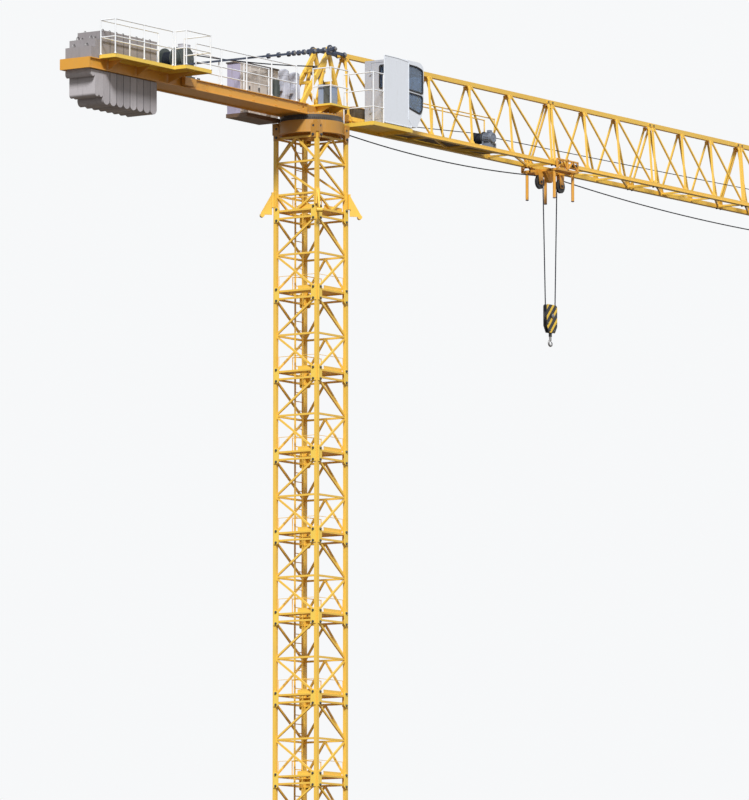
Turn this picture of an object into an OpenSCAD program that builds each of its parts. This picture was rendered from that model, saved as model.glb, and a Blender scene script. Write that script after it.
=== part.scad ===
// Flat-top tower crane, a half-size model of a crane about 48 m long.
// X runs out along the jib, Y across it, Z up. The origin is the middle of the foot, on the ground.

/* [Tower] */
// Distance between the centre lines of two neighbouring legs
leg_spacing = 775; // [720:5:830]
// Side of the square leg
leg_w = 58; // [48:2:68]
// Height of one tower section
section_h = 1250; // [1150:10:1350]
// Number of sections under the head section
section_count = 13; // [6:1:14]
// Height of the head section that carries the turntable
head_h = 1250; // [1200:10:1350]
// Width of the bracing bars, seen from the side
brace_w = 30; // [22:1:38]
// Depth of the bracing bars, through the side of the tower
brace_t = 28; // [20:1:36]
// Height of the edge bars above and below each joint between sections
edge_bar_off = 58; // [45:1:80]
// Gap left between stacked pieces
joint_gap = 0.6; // [0.2:0.1:0.9]
// Height of the anchor frame under the feet
anchor_h = 90; // [70:5:120]
// Height of each anchor foot
foot_h = 200; // [180:5:240]

/* [Turntable] */
// Outside radius of the fixed drum on top of the tower
drum_r = 520; // [500:2:540]
// Height of the fixed drum
drum_h = 195; // [160:5:230]
// Outside radius of the slewing ring's teeth
ring_r = 505; // [480:1:515]
// Height of each half of the slewing ring
ring_half_h = 43.7; // [36:0.1:52]
// Number of teeth on the slewing ring
ring_teeth = 96; // [72:4:120]
// Running gap between the two halves of the slewing ring
ring_gap = 0.6; // [0.3:0.1:1]
// Height of the jib's lower chord axis above the slewing ring
chord_over_ring = 56; // [50:1:80]

/* [Jib] */
// Height of the upper chord's axis above the lower chords' axis
jib_h = 1042; // [950:2:1150]
// Distance of each lower chord from the middle plane
jib_half_w = 250; // [240:1:262]
// Side of the square lower chord
low_chord_w = 66; // [54:1:74]
// Side of the square upper chord
top_chord_w = 72; // [60:1:84]
// Width of the jib's bracing bars
jib_brace_w = 27; // [20:1:34]
// Bays in the root section
root_bays = 5; // [4:1:6]
// Length of a bay in the root section
root_bay = 1150; // [1080:5:1200]
// Bays in each further section
outer_bays = 3; // [2:1:4]
// Length of a bay in the second section
second_bay = 975; // [920:5:1020]
// Length of a bay in the sections beyond it
outer_bay = 900; // [850:5:960]
// How far a post leans outwards from bottom to top
post_lean = 225; // [150:5:260]

/* [Counterjib] */
// Distance of each beam from the middle plane
beam_y = 245; // [244:1:256]
// Depth of each beam
beam_h = 162; // [146:2:172]
// Width of each beam's flanges
beam_w = 60; // [54:1:61]
// Distance from the tower's axis to the tail end
tail_x = 6080; // [5980:10:6280]
// Number of ballast slabs of full length
long_slabs = 8; // [4:1:8]
// Thickness of a slab of full length
long_slab_t = 168; // [150:1:172]
// Width of the ballast slabs
slab_w = 480; // [466:1:494]

/* [Cab] */
// Length of the cab
cab_len = 930; // [900:5:960]
// Height of the cab
cab_h = 1040; // [1000:5:1080]
// Width of the cab
cab_w = 478; // [460:2:490]
// Thickness of the cab's walls
cab_wall = 16; // [12:1:22]
// Width of the cab's door
door_w = 330; // [300:5:345]

/* [Trolley] */
// Distance of the trolley from the tower's axis at rest
trolley_x = 6720; // [6600:10:6800]
// Rope radius of the trolley's two sheaves
sheave_r = 100; // [90:1:110]
// Rope radius of the hook block's sheave
block_r = 136; // [126:1:142]
// Half the distance between the rope falls at the trolley
fall_half = 205; // [195:1:215]
// Depth of the hook block's top edge below the lower chords
block_drop = 2270; // [2150:10:2400]
// Diameter of the ropes
rope_d = 20; // [15:1:22]

/* [Walkways] */
// Diameter of the handrail tubes
rail_d = 22; // [16:1:24]
// Thickness of the floor plates
floor_t = 8; // [6:1:10]

/* [Hidden] */
// Levels, from the ground up
foot_z = anchor_h;
tower_z = foot_z + foot_h;
head_z = tower_z + section_count * section_h;
drum_z = head_z + head_h;
ring_z = drum_z + drum_h;
deck_z = ring_z + 2 * ring_half_h + ring_gap;
jib_z = deck_z + chord_over_ring;

half = leg_spacing / 2;
leg_half = leg_w / 2;
fit = 0.3;
run_fit = 0.1;
sheave_shaft = 16;
root_pulley = [850, jib_z - 108];
root_r = 70;
tip_pulley_z = 330;
tip_pulley_r = 60;

// The jib's joints between sections, measured at the lower chords
jib_start = 620;
root_end = jib_start + root_bays * root_bay + 85;
second_end = root_end + outer_bays * second_bay + 120;
outer_len = outer_bays * outer_bay + 60;
section_starts = [jib_start, root_end, second_end, second_end + outer_len, second_end + 2 * outer_len];
section_bays = [root_bays, outer_bays, outer_bays, outer_bays, outer_bays - 1];
section_bay_len = [root_bay, second_bay, outer_bay, outer_bay, outer_bay];
jib_end = section_starts[4] + (outer_bays - 1) * outer_bay + 120;
end_post_off = 40;
top_bar_y = 30;

// Turntable and counterjib
girder_y = 185;
girder_w = 58;
beam_z = deck_z - 10;
beam_top = beam_z + beam_h;
beam_start = 450;
floor_z = beam_top - 20;
girder_top = beam_top - 6;
tie_y = 240;
tie_tail_x = -4250;
tie_pin_h = 80;
tie_link_x = -800;
apex_pin_h = 1050;
apex_pin_z = jib_z + apex_pin_h;
apex_x = 280;

// Cab
cab_x = 1030;
cab_y = -300;
cab_z = jib_z - 50;
cab_floor_z = jib_z - 90;
cab_deck_x = 552;

// Trolley
falls_z = jib_z - 295;
block_top = jib_z - block_drop;
block_h = 460;
block_axis_z = block_top - 185;

yellow = "#f2b632";
white = "#e9edf0";
steel = "#8d98a6";
dark = "#3d4648";
concrete = "#a3a09f";
rope_colour = "#222a38";

// A bar in a drawing, from point a to point b
module bar2(a, b, w) {
    d = b - a;
    translate(a) rotate(atan2(d[1], d[0])) translate([0, -w / 2]) square([norm(d), w]);
}

// A bar in space from a to b, w across and t deep
module bar3(a, b, w, t) {
    d = b - a;
    run = norm([d[0], d[1]]);
    translate(a) rotate([0, atan2(run, d[2]), run == 0 ? 0 : atan2(d[1], d[0])])
        translate([-t / 2, -w / 2, 0]) cube([t, w, norm(d)]);
}

// A round tube in space from a to b, as a bar of eight sides
module tube3(a, b, d0) {
    d = b - a;
    run = norm([d[0], d[1]]);
    translate(a) rotate([0, atan2(run, d[2]), run == 0 ? 0 : atan2(d[1], d[0])])
        cylinder(h = norm(d), d = d0, $fn = 8);
}

// A round shaft across the crane, centred on the middle plane
module cross_shaft(x, z, r, len) {
    translate([x, len / 2, z]) rotate([90, 0, 0]) cylinder(h = len, r = r, $fn = 48);
}

// Stands a drawing in the plane across Y, its drawing x along X and its drawing y up
module upright(t) {
    rotate([90, 0, 0]) translate([0, 0, -t / 2]) linear_extrude(t) children();
}

// Stands a drawing in the plane across X, its drawing x along Y and its drawing y up
module upright_x(t) {
    rotate([90, 0, 90]) translate([0, 0, -t / 2]) linear_extrude(t) children();
}

// A straight railing with a post at every step and rails at the given heights
module railing(a, b, height, rails, steps) {
    up = [0, 0, 1];
    for (i = [0:steps]) {
        p = a + (b - a) * i / steps;
        tube3(p, p + up * (height + rail_d / 2), rail_d);
    }
    for (h = rails) tube3(a + up * h, b + up * h, rail_d * 0.9);
}

// Anchor frame: two crossed beams and a square ring, on the ground
module anchor_frame() {
    reach = half * sqrt(2) + 170;
    beam = 120;
    color(yellow) union() {
        for (a = [45, 135]) rotate(a) translate([-reach, -beam / 2, 0]) cube([2 * reach, beam, anchor_h]);
        for (a = [0:90:270]) rotate(a)
            translate([half - beam / 2, -half - beam / 2, 0])
                cube([beam, leg_spacing + beam, anchor_h]);
    }
}

module anchor_foot() {
    plate = 210;
    plate_t = 22;
    translate([-plate / 2, -plate / 2, 0]) cube([plate, plate, plate_t]);
    translate([-leg_half, -leg_half, 0]) cube([leg_w, leg_w, foot_h - joint_gap]);
    for (a = [180, 270]) rotate(a)
        upright(14) polygon([[leg_half, plate_t - 1], [plate / 2 - 8, plate_t - 1],
                             [leg_half, foot_h * 0.75]]);
    for (x = [-1, 1], y = [-1, 1])
        translate([x * plate * 0.38, y * plate * 0.38, 0]) cylinder(h = plate_t + 16, d = 26, $fn = 6);
}

module anchor_feet() {
    color(yellow) for (a = [0:90:270]) rotate(a) translate([half, half, foot_z]) anchor_foot();
}

// One side of a tower section: edge bars, a middle bar and two diagonals that meet on one leg
module k_bracing(h, apex) {
    for (z = [edge_bar_off, h / 2, h - edge_bar_off]) bar2([-half, z], [half, z], brace_w);
    bar2([-apex * half, edge_bar_off], [apex * half, h / 2], brace_w);
    bar2([apex * half, h / 2], [-apex * half, h - edge_bar_off], brace_w);
}

// The far side has a pair of struts under the middle of each cross bar
module v_bracing(h) {
    for (z = [edge_bar_off, h / 2, h - edge_bar_off]) bar2([-half, z], [half, z], brace_w);
    for (s = [-1, 1]) {
        bar2([0, h - edge_bar_off], [s * half, h / 2], brace_w);
        bar2([0, h / 2], [s * half, edge_bar_off], brace_w);
    }
}

// The head section: a low band that carries the brackets, then struts up to the drum
head_low = 310;
head_mid = 810;
module head_bracing(apex) {
    for (z = [edge_bar_off, head_low, head_mid, head_h - edge_bar_off])
        bar2([-half, z], [half, z], brace_w);
    for (s = [-1, 1]) bar2([0, edge_bar_off], [s * half, head_low], brace_w);
    bar2([-apex * half, head_low], [apex * half, head_mid], brace_w);
    bar2([apex * half, head_mid], [0, head_h - edge_bar_off], brace_w);
    bar2([-apex * half, head_mid], [0, head_h - edge_bar_off], brace_w);
}

module between_legs(h) {
    intersection() {
        children();
        translate([-half + leg_half, 0]) square([leg_spacing - leg_w, h]);
    }
}

// The legs of one section at the two ends of a side
module side_legs(h) {
    for (s = [-1, 1]) translate([s * half - leg_half, joint_gap / 2]) square([leg_w, h - joint_gap]);
}

// The two sides across X hold the four legs, and their bracing is fused to them
module tower_side_with_legs(x, style) {
    for (i = [0:section_count]) {
        h = i == section_count ? head_h : section_h;
        translate([x, 0, tower_z + i * section_h]) {
            upright_x(leg_w) side_legs(h);
            upright_x(brace_t) between_legs(h) {
                if (i == section_count) head_bracing(1);
                else if (style == "k") k_bracing(h, 1);
                else v_bracing(h);
            }
        }
    }
}

// The two sides across Y are panels of bracing that fit between the legs
module tower_side_between(y) {
    for (i = [0:section_count]) {
        h = i == section_count ? head_h : section_h;
        translate([0, y, tower_z + i * section_h])
            upright(brace_t) between_legs(h) {
                if (i == section_count) head_bracing(-1);
                else k_bracing(h, 1);
            }
    }
}

module tower_near_left() {
    color(yellow) tower_side_with_legs(-half, "k");
}

module tower_far_right() {
    color(yellow) tower_side_with_legs(half, "v");
}

module tower_near_right() {
    color(yellow) tower_side_between(-half);
}

module tower_far_left() {
    color(yellow) tower_side_between(half);
}

// Plates with cut corners on the two outer faces of each leg, at every joint, with pins beside the leg
plate_t = 12;
plate_h = 232;
plate_in = 84;
pin_off = 88;
pin_in = 38;
module ear(z0, z1) {
    cut = 22;
    polygon([[8, z0], [8, z1], [cut - plate_in, z1], [-plate_in, z1 - cut],
             [-plate_in, z0 + cut], [cut - plate_in, z0]]);
}

module fishplate() {
    for (m = [0, 1]) mirror([m, -m, 0]) {
        translate([leg_half + fit, 0, 0]) rotate([90, 0, 90]) linear_extrude(plate_t)
            ear(-plate_h / 2, plate_h / 2);
        for (z = [-pin_off, pin_off]) translate([leg_half + fit, -pin_in, z])
            rotate([0, 90, 0]) cylinder(h = plate_t + 14, d = 34, $fn = 12);
    }
}

module tower_fishplates() {
    color(yellow) for (i = [0:section_count], a = [0:90:270])
        rotate(a) translate([half, half, tower_z + i * section_h]) fishplate();
}

// Rest platforms: a floor with an opening for the ladder, and a low rail round it
ladder_x = 110;
ladder_w = 200;
ladder_y = half - 85;
module rest_platform() {
    inner = half - brace_t / 2 - fit;
    open_x = ladder_x - ladder_w / 2 - 60;
    open_y = inner - 330;
    rail_z = 250;
    linear_extrude(floor_t) difference() {
        square(2 * inner, center = true);
        translate([open_x, open_y]) square(inner);
        for (x = [-half, half], y = [-half, half]) translate([x, y]) square(leg_w + 2 * fit, center = true);
    }
    corner = [open_x - 20, open_y - 20];
    ends = [[inner - 60, open_y - 20], [open_x - 20, inner - 80]];
    for (p = concat([corner], ends)) tube3([p[0], p[1], floor_t / 2], [p[0], p[1], rail_z + 7], 16);
    for (p = ends) tube3([corner[0], corner[1], rail_z], [p[0], p[1], rail_z], 14);
    toe_boards(inner, rail_z);
}

// Boards and a thin rail along the two near edges of a rest platform
module toe_boards(inner, rail_z) {
    board_h = 73;
    board_t = 8;
    reach = inner - 32;
    edge = inner - 7;
    translate([-inner, -reach, 0]) cube([board_t, reach - 20, board_h]);
    translate([-reach / 2, -inner, 0]) cube([reach * 1.4, board_t, board_h]);
    for (y = [-reach, reach]) tube3([-edge, y, 0], [-edge, y, rail_z - 10], 9);
    for (x = [-reach, reach]) tube3([x, -edge, 0], [x, -edge, rail_z - 10], 9);
    tube3([-edge, -reach, rail_z - 14], [-edge, reach, rail_z - 14], 8);
    tube3([-reach, -edge, rail_z - 14], [reach, -edge, rail_z - 14], 8);
}

module tower_platforms() {
    color(yellow) for (i = [1:section_count])
        translate([0, 0, tower_z + i * section_h + edge_bar_off]) rest_platform();
}

// A ladder section hangs from the cross bars of the far left side
module ladder(h) {
    stile = [14, 26];
    step = 140;
    count = floor((h - 60) / step);
    for (s = [-1, 1]) {
        translate([ladder_x + s * ladder_w / 2 - stile[0] / 2, ladder_y - stile[1] / 2, joint_gap / 2])
            cube([stile[0], stile[1], h - joint_gap]);
        for (z = [edge_bar_off, h / 2])
            translate([ladder_x + s * ladder_w / 2 - stile[0] / 2, ladder_y, z - 8])
                cube([stile[0], half - brace_t / 2 - fit - ladder_y, 16]);
    }
    for (i = [0:count])
        translate([ladder_x, ladder_y, 50 + i * step])
            tube3([-ladder_w / 2, 0, 0], [ladder_w / 2, 0, 0], 14);
}

module tower_ladders() {
    color(yellow) for (i = [0:section_count])
        translate([0, 0, tower_z + i * section_h]) ladder(i == section_count ? head_h : section_h);
}

// Brackets on the legs of the head section, pointing out along the diagonals
module climbing_bracket() {
    top = 345;
    reach = 215;
    corner = leg_half * sqrt(2) + 2;
    clear = (leg_half + plate_t + fit) * sqrt(2) + 4;
    band = plate_h / 2 + 4;
    rotate(45) {
        upright(20) polygon([[clear, top], [clear, 10], [corner + reach - 70, 10], [corner + reach - 20, 40],
                             [corner + reach - 50, 90]]);
        translate([corner + reach - 40, 45, 0]) rotate([90, 0, 0]) cylinder(h = 90, r = 34, $fn = 32);
        translate([corner, -34, band]) cube([clear - corner + 8, 68, top + 12 - band]);
    }
    for (m = [0, 1]) mirror([m, -m, 0]) translate([leg_half + fit, -leg_half, band])
        cube([12, leg_w + 12, top + 12 - band]);
}

module climbing_brackets() {
    color(yellow) for (a = [0:90:270]) rotate(a) translate([half, half, head_z]) climbing_bracket();
}

// Puts a lug on both outer faces at the top of each leg
module drum_lugs() {
    for (a = [0:90:270]) rotate(a) translate([half, half, drum_z])
        for (m = [0, 1]) mirror([m, -m, 0]) translate([leg_half + fit, 0, 0]) children();
}

// Fixed drum: an open ring with a box and two lug plates over each leg
module slewing_drum() {
    wall = 60;
    box = 84;
    lug_t = 18;
    lug_low = -88;
    lug_top = 138;
    color(yellow) difference() {
        union() {
            translate([0, 0, drum_z]) difference() {
                union() {
                    cylinder(h = drum_h, r = drum_r, $fn = 96);
                    cylinder(h = 16, r = drum_r + 14, $fn = 96);
                    for (a = [0:90:270]) rotate(a) translate([half - box / 2, half - box / 2, 0])
                        cube([box, box, drum_h - 12]);
                }
                translate([0, 0, -1]) cylinder(h = drum_h + 2, r = drum_r - wall, $fn = 96);
            }
            drum_lugs() {
                rotate([90, 0, 90]) linear_extrude(lug_t) ear(lug_low, lug_top);
                translate([0, -pin_in, -44]) rotate([0, 90, 0]) cylinder(h = lug_t + 16, d = 36, $fn = 12);
            }
        }
        drum_lugs() translate([lug_t - 9, -pin_in, lug_top - 44]) rotate([0, 90, 0])
            cylinder(h = 30, d = 40, $fn = 32);
    }
}

// Outline of a ring of teeth with sloping flanks
function tooth_ring(r, depth, n) = [for (i = [0:n - 1], k = [0:3])
    let (a = (i + [0.04, 0.3, 0.5, 0.76][k] - 0.15) * 360 / n, q = (k == 1 || k == 2) ? r : r - depth)
    [q * cos(a), q * sin(a)]];

ring_bore = 410;
module slewing_ring_lower() {
    color(dark) translate([0, 0, ring_z]) difference() {
        linear_extrude(ring_half_h) polygon(tooth_ring(ring_r, 12, ring_teeth));
        translate([0, 0, -1]) cylinder(h = ring_half_h + 2, r = ring_bore, $fn = 96);
    }
}

module slewing_ring_upper() {
    color(dark) translate([0, 0, ring_z + ring_half_h + ring_gap]) difference() {
        cylinder(h = ring_half_h, r = ring_r - 18, $fn = 96);
        translate([0, 0, -1]) cylinder(h = ring_half_h + 2, r = ring_bore, $fn = 96);
    }
}

// Turntable: a plate on the ring, two girders and their cross members
front_x = jib_start - fit;
deck_plate = 24;
module turntable() {
    color(yellow) union() {
        translate([0, 0, deck_z]) difference() {
            cylinder(h = deck_plate, r = ring_r - 18, $fn = 96);
            translate([0, 0, -1]) cylinder(h = deck_plate + 2, r = 240, $fn = 64);
        }
        for (s = [-1, 1]) translate([-640, s * girder_y - girder_w / 2, deck_z + 2])
            cube([front_x + 640, girder_w, girder_top - deck_z - 2]);
        for (x = [-600, -330, 300]) translate([x, -girder_y, deck_z + 2])
            cube([44, 2 * girder_y, girder_top - deck_z - 2]);
        translate([front_x - 40, -jib_half_w - 38, deck_z + 8]) cube([40, 2 * jib_half_w + 76, 100]);
        for (s = [-1, 1]) translate([-560, s * (girder_y + girder_w / 2), deck_z + 80])
            rotate([-90 * s, 0, 0]) cylinder(h = beam_y - 6 - girder_y - girder_w / 2, r = 24, $fn = 32);
    }
}

// Apex frame: two side frames of raking legs, tied across
apex_leg_y = 130;
apex_leg_t = 44;
module apex_outline() {
    foot = girder_top - jib_z;
    bar2([-440, foot + 10], [apex_x - 8, apex_pin_h - 48], 74);
    bar2([640, foot + 10], [apex_x + 6, apex_pin_h - 42], 62);
    bar2([-60, foot + 10], [apex_x - 80, 860], 44);
    bar2([-250, 330], [-20, foot + 10], 40);
    translate([apex_x, apex_pin_h]) circle(d = 96, $fn = 48);
    translate([pulley_x, pulley_z - jib_z]) circle(d = 66, $fn = 32);
    polygon([[-500, foot], [-330, foot], [-370, 240]]);
    polygon([[560, foot], [600, foot], [590, 260], [540, 300]]);
    translate([-500, foot]) square([1140, 26]);
}

module apex_frame() {
    color(yellow) translate([0, 0, jib_z]) difference() {
        union() {
            for (s = [-1, 1]) translate([0, s * apex_leg_y, 0])
                upright(apex_leg_t) intersection() {
                    apex_outline();
                    translate([-520, girder_top - jib_z]) square([1200, 1200]);
                }
            for (p = [[-180, 480], [-20, 690], [465, 560]])
                translate([p[0] - 22, -apex_leg_y, p[1] - 22]) cube([44, 2 * apex_leg_y, 44]);
        }
        cross_shaft(apex_x, apex_pin_h, 26, 600);
        cross_shaft(pulley_x, pulley_z - jib_z, sheave_shaft, 600);
    }
}

// Steel links from the apex to the jib, with the pin that carries the tie bars
link_end_x = jib_start + 250;
cheek_t = 20;
module apex_links() {
    joint = [link_end_x - 60, jib_h];
    pin = [apex_x, apex_pin_h];
    middle = pin + (joint - pin) * 0.47;
    color(steel) translate([0, 0, jib_z]) union() {
        cross_shaft(pin[0], pin[1], 26 - fit, 2 * tie_y + 60);
        for (s = [-1, 1]) translate([0, s * 64, 0]) upright(22) {
            bar2(pin, joint, 46);
            for (p = [pin, middle, joint]) translate(p) circle(d = 84, $fn = 32);
        }
        cheek_y = apex_leg_y + apex_leg_t / 2 + fit + cheek_t / 2;
        for (s = [-1, 1]) translate([0, s * cheek_y, 0]) upright(cheek_t) difference() {
            hull() {
                translate(pin) circle(d = 146, $fn = 48);
                translate(pin + [-64, -62]) circle(d = 56, $fn = 24);
                translate(pin + [84, -44]) circle(d = 62, $fn = 24);
            }
            translate(pin) circle(r = 26, $fn = 48);
        }
        cross_shaft(joint[0], joint[1], 20, 170);
        cross_shaft(middle[0], middle[1], 18, 170);
    }
}

// A grooved rope wheel with its axis across the crane
module sheave(r, t, bore) {
    rotate([90, 0, 0]) rotate_extrude($fn = 64) {
        difference() {
            translate([bore, -t / 2]) square([r + 14 - bore, t]);
            polygon([[r - rope_d / 2, -rope_d * 0.55], [r - rope_d / 2, rope_d * 0.55],
                     [r + 15, t * 0.38], [r + 15, -t * 0.38]]);
            for (s = [-1, 1]) translate([bore + 28, s > 0 ? t * 0.22 : -t / 2 - 1])
                square([r - bore - 60, t * 0.28 + 1]);
        }
    }
}

pulley_x = 146;
pulley_z = jib_z + 685;
pulley_r = 95;
module rope_pulley() {
    color(steel) translate([pulley_x, 0, pulley_z]) sheave_on_shaft(pulley_r, 2 * apex_leg_y + 40);
}

module root_pulley_wheel() {
    color(steel) translate([root_pulley[0], 0, root_pulley[1]]) sheave_on_shaft(root_r, 80);
}

// Small platform beside the turntable, with its railing
side_y = [-520, -130];
side_deck_h = 30;
module side_platform() {
    x0 = -200;
    x1 = 300;
    under = girder_top + fit;
    root_y = -girder_y - girder_w / 2 - fit;
    color(yellow) union() {
        translate([x0, side_y[0], under]) difference() {
            cube([x1 - x0, side_y[1] - side_y[0] - 25, side_deck_h]);
            translate([12, 12, -1]) cube([x1 - x0 - 24, root_y - side_y[0] - 14, side_deck_h - floor_t + 1]);
        }
        for (x = [x0 + 70, x1 - 110]) translate([x, 0, 0]) upright_x(12)
            polygon([[side_y[0] + 6, under + 10], [root_y, deck_z + deck_plate + 4], [root_y, under + 10]]);
    }
}

// Tie bars from the apex to the counterjib, with thick links at the upper end
tie_slope = (apex_pin_z - (beam_top + tie_pin_h)) / (apex_x - tie_tail_x);
function tie_point(x) = [x, apex_pin_z - tie_slope * (apex_x - x)];
module tie_bars() {
    color(steel) for (s = [-1, 1]) translate([0, s * tie_y, 0]) difference() {
        union() {
            upright(20) {
                bar2(tie_point(tie_tail_x), tie_point(tie_link_x), 28);
                translate(tie_point(tie_tail_x)) circle(d = 64, $fn = 32);
            }
            upright(34) {
                bar2(tie_point(tie_link_x), tie_point(apex_x), 36);
                for (i = [0:4]) translate(tie_point(tie_link_x + (apex_x - tie_link_x) * i / 4))
                    circle(d = 84, $fn = 32);
            }
        }
        cross_shaft(tie_tail_x, beam_top + tie_pin_h, 14, 60);
        cross_shaft(apex_x, apex_pin_z, 26, 60);
    }
}

// Cross members between the beams, with a plate that closes the underside
first_cross = 700;
cross_step = 600;
last_cross = 4300;
module beam_profile() {
    web = 12;
    flange = 12;
    translate([-beam_w / 2, 0]) square([beam_w, flange]);
    translate([-beam_w / 2, beam_h - flange]) square([beam_w, flange]);
    translate([-web / 2, 0]) square([web, beam_h]);
}

module counterjib_beams() {
    lug = beam_top + tie_pin_h;
    color(yellow) difference() {
        union() {
            for (s = [-1, 1]) {
                translate([-tail_x, s * beam_y, beam_z]) rotate([90, 0, 90])
                    linear_extrude(tail_x - beam_start) beam_profile();
                for (t = [-15, 15]) translate([0, s * tie_y + t, 0])
                    upright(8) polygon([[tie_tail_x - 80, beam_top - 2], [tie_tail_x + 60, beam_top - 2],
                                        [tie_tail_x + 34, lug + 34], [tie_tail_x - 34, lug + 34]]);
                translate([tie_tail_x, s * tie_y, lug]) rotate([90, 0, 0])
                    cylinder(h = 34, r = 14 - fit, center = true, $fn = 32);
            }
            for (x = [first_cross:cross_step:last_cross]) translate([-x, -beam_y, beam_z + 30])
                cube([50, 2 * beam_y, floor_z - beam_z - 30]);
            translate([-last_cross, -beam_y, beam_z + 14])
                cube([last_cross - first_cross + 40, 2 * beam_y, 18]);
            translate([-tail_x, -beam_y - beam_w / 2, beam_z])
                cube([24, 2 * beam_y + beam_w, beam_h]);
        }
        for (s = [-1, 1]) translate([-560, s * beam_y, deck_z + 80]) rotate([90, 0, 0])
            cylinder(h = 100, r = 24 + fit, center = true, $fn = 32);
    }
}

// Walkway plates on the cross members
module counterjib_floor() {
    gap_y = beam_y - beam_w / 2 - 1;
    color(yellow) for (x = [first_cross:cross_step:last_cross - cross_step])
        translate([-x - cross_step + 50 + fit, -gap_y, floor_z + fit])
            cube([cross_step - 2 * fit, 2 * gap_y, floor_t]);
}

// Side platforms beside the winch and the ballast, on brackets under their floors
plat_depth = 56;
module side_deck(x0, x1, y0, y1) {
    translate([x0, y0, beam_top + fit]) difference() {
        cube([x1 - x0, y1 - y0, plat_depth]);
        translate([10, 10, -1]) cube([x1 - x0 - 20, y1 - y0 - 20, plat_depth - floor_t + 1]);
    }
}

deck_a = [-5815, -4345, -560];
deck_b = [-4344.4, -3700, -790];
deck_in = -262;
winch_box = [290, 70, 120];
module counterjib_platforms() {
    color(yellow) union() {
        side_deck(deck_a[0], deck_a[1], deck_a[2], deck_in);
        side_deck(deck_b[0], deck_b[1], deck_b[2], deck_in);
        root = -beam_y - beam_w / 2 - fit;
        for (p = [[-5600, deck_a[2]], [-4900, deck_a[2]], [-4100, deck_b[2]]])
            translate([p[0], 0, 0]) upright_x(14)
                polygon([[root, beam_z + 14], [root, beam_top + 20], [p[1] + 14, beam_top + 20],
                         [p[1] + 14, beam_top + 2]]);
        translate([-3770, root - winch_box[1], beam_z + 24]) cube(winch_box);
        translate([-3740, root - 20, beam_z + 140]) cube([40, 20, beam_top + 20 - beam_z - 140]);
    }
}

module counterjib_railings() {
    walk_h = 550;
    walk = [-3385, -760];
    deck_rail = beam_top + plat_depth + fit;
    deck_h = 520;
    in = 14;
    walk_rails = [walk_h, walk_h / 2];
    deck_rails = [deck_h, deck_h / 2];
    corner_a = [deck_a[0] + in, deck_a[2] + in, deck_rail];
    corner_b = [deck_b[0] + in, deck_b[2] + in, deck_rail];
    corner_c = [deck_b[1] - in, deck_b[2] + in, deck_rail];
    for (s = [-1, 1]) translate([0, s * (beam_y + 17.5), beam_top + fit])
        railing([walk[0], 0, 0], [walk[1], 0, 0], walk_h, walk_rails, 4);
    railing(corner_a, [deck_a[1] - in, corner_a[1], deck_rail], deck_h, deck_rails, 2);
    railing([corner_a[0], deck_in - in, deck_rail], [deck_a[1] - in, deck_in - in, deck_rail],
            deck_h, deck_rails, 2);
    railing(corner_a, [corner_a[0], deck_in - in, deck_rail], deck_h, deck_rails, 1);
    railing(corner_b, corner_c, deck_h, deck_rails, 1);
    railing(corner_b, [corner_b[0], deck_a[2] - 10, deck_rail], deck_h, deck_rails, 1);
    railing(corner_c, [corner_c[0], deck_in - 20, deck_rail], deck_h, deck_rails, 1);
}

// Ballast slabs with round bottoms, notched to sit on the beams
slab_gap = 3;
module slab(x, t, z0, z1) {
    notch = beam_y - beam_w / 2 - 3;
    intersection() {
        upright(slab_w) {
            translate([x, z0 + t / 2]) square([t - slab_gap, z1 - z0 - t / 2]);
            translate([x + (t - slab_gap) / 2, z0 + t / 2]) circle(d = t - slab_gap, $fn = 48);
        }
        translate([x + t / 2, 0, 0]) upright_x(2 * t) difference() {
            translate([-slab_w / 2, z0]) square([slab_w, z1 - z0]);
            for (s = [-1, 1]) translate([s > 0 ? notch : -notch - 200, beam_z - 12])
                square([200, beam_top - beam_z + 12 + fit]);
        }
    }
}

slab_x0 = -tail_x + 90;
module ballast_slabs() {
    short_t = 100;
    mid_t = 100;
    color(concrete) {
        slab(slab_x0, short_t, jib_z - 180, jib_z + 270);
        for (i = [0, 1]) slab(slab_x0 + short_t + i * mid_t, mid_t, jib_z - 470, jib_z + 395);
        for (i = [0:long_slabs - 1])
            slab(slab_x0 + short_t + 2 * mid_t + i * long_slab_t, long_slab_t,
                 jib_z - 570, jib_z + 540);
    }
}

// Hoist winch: bed, two cheeks and a ribbed gearbox; its drum is a piece of its own
drum_axis = [-3550, beam_top + 304];
drum_rope_r = 120;
drum_flange_r = 190;
drum_near = -40;
drum_far = 200;
groove_step = 24;
gearbox_r = 150;
gearbox_y = [-222, -60];
bed_reach = 310;
module winch_frame() {
    bed_z = beam_top + fit;
    bed_t = 34;
    cheek_t = 20;
    bed_y = beam_y - 10;
    color(dark) difference() {
        union() {
            translate([drum_axis[0] - bed_reach, -bed_y, bed_z]) cube([2 * bed_reach, 2 * bed_y, bed_t]);
            for (y = [drum_near - 6 - cheek_t / 2, drum_far + 6 + cheek_t / 2])
                translate([0, y, 0]) upright(cheek_t) {
                    polygon([[drum_axis[0] - 200, bed_z + 10], [drum_axis[0] + 200, bed_z + 10],
                             [drum_axis[0] + 80, drum_axis[1]], [drum_axis[0] - 80, drum_axis[1]]]);
                    translate(drum_axis) circle(r = 80, $fn = 48);
                }
            gearbox(bed_z);
        }
        translate([drum_axis[0], drum_near - 40, drum_axis[1]]) rotate([-90, 0, 0])
            cylinder(h = drum_far - drum_near + 100, r = 30, $fn = 48);
    }
}

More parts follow.
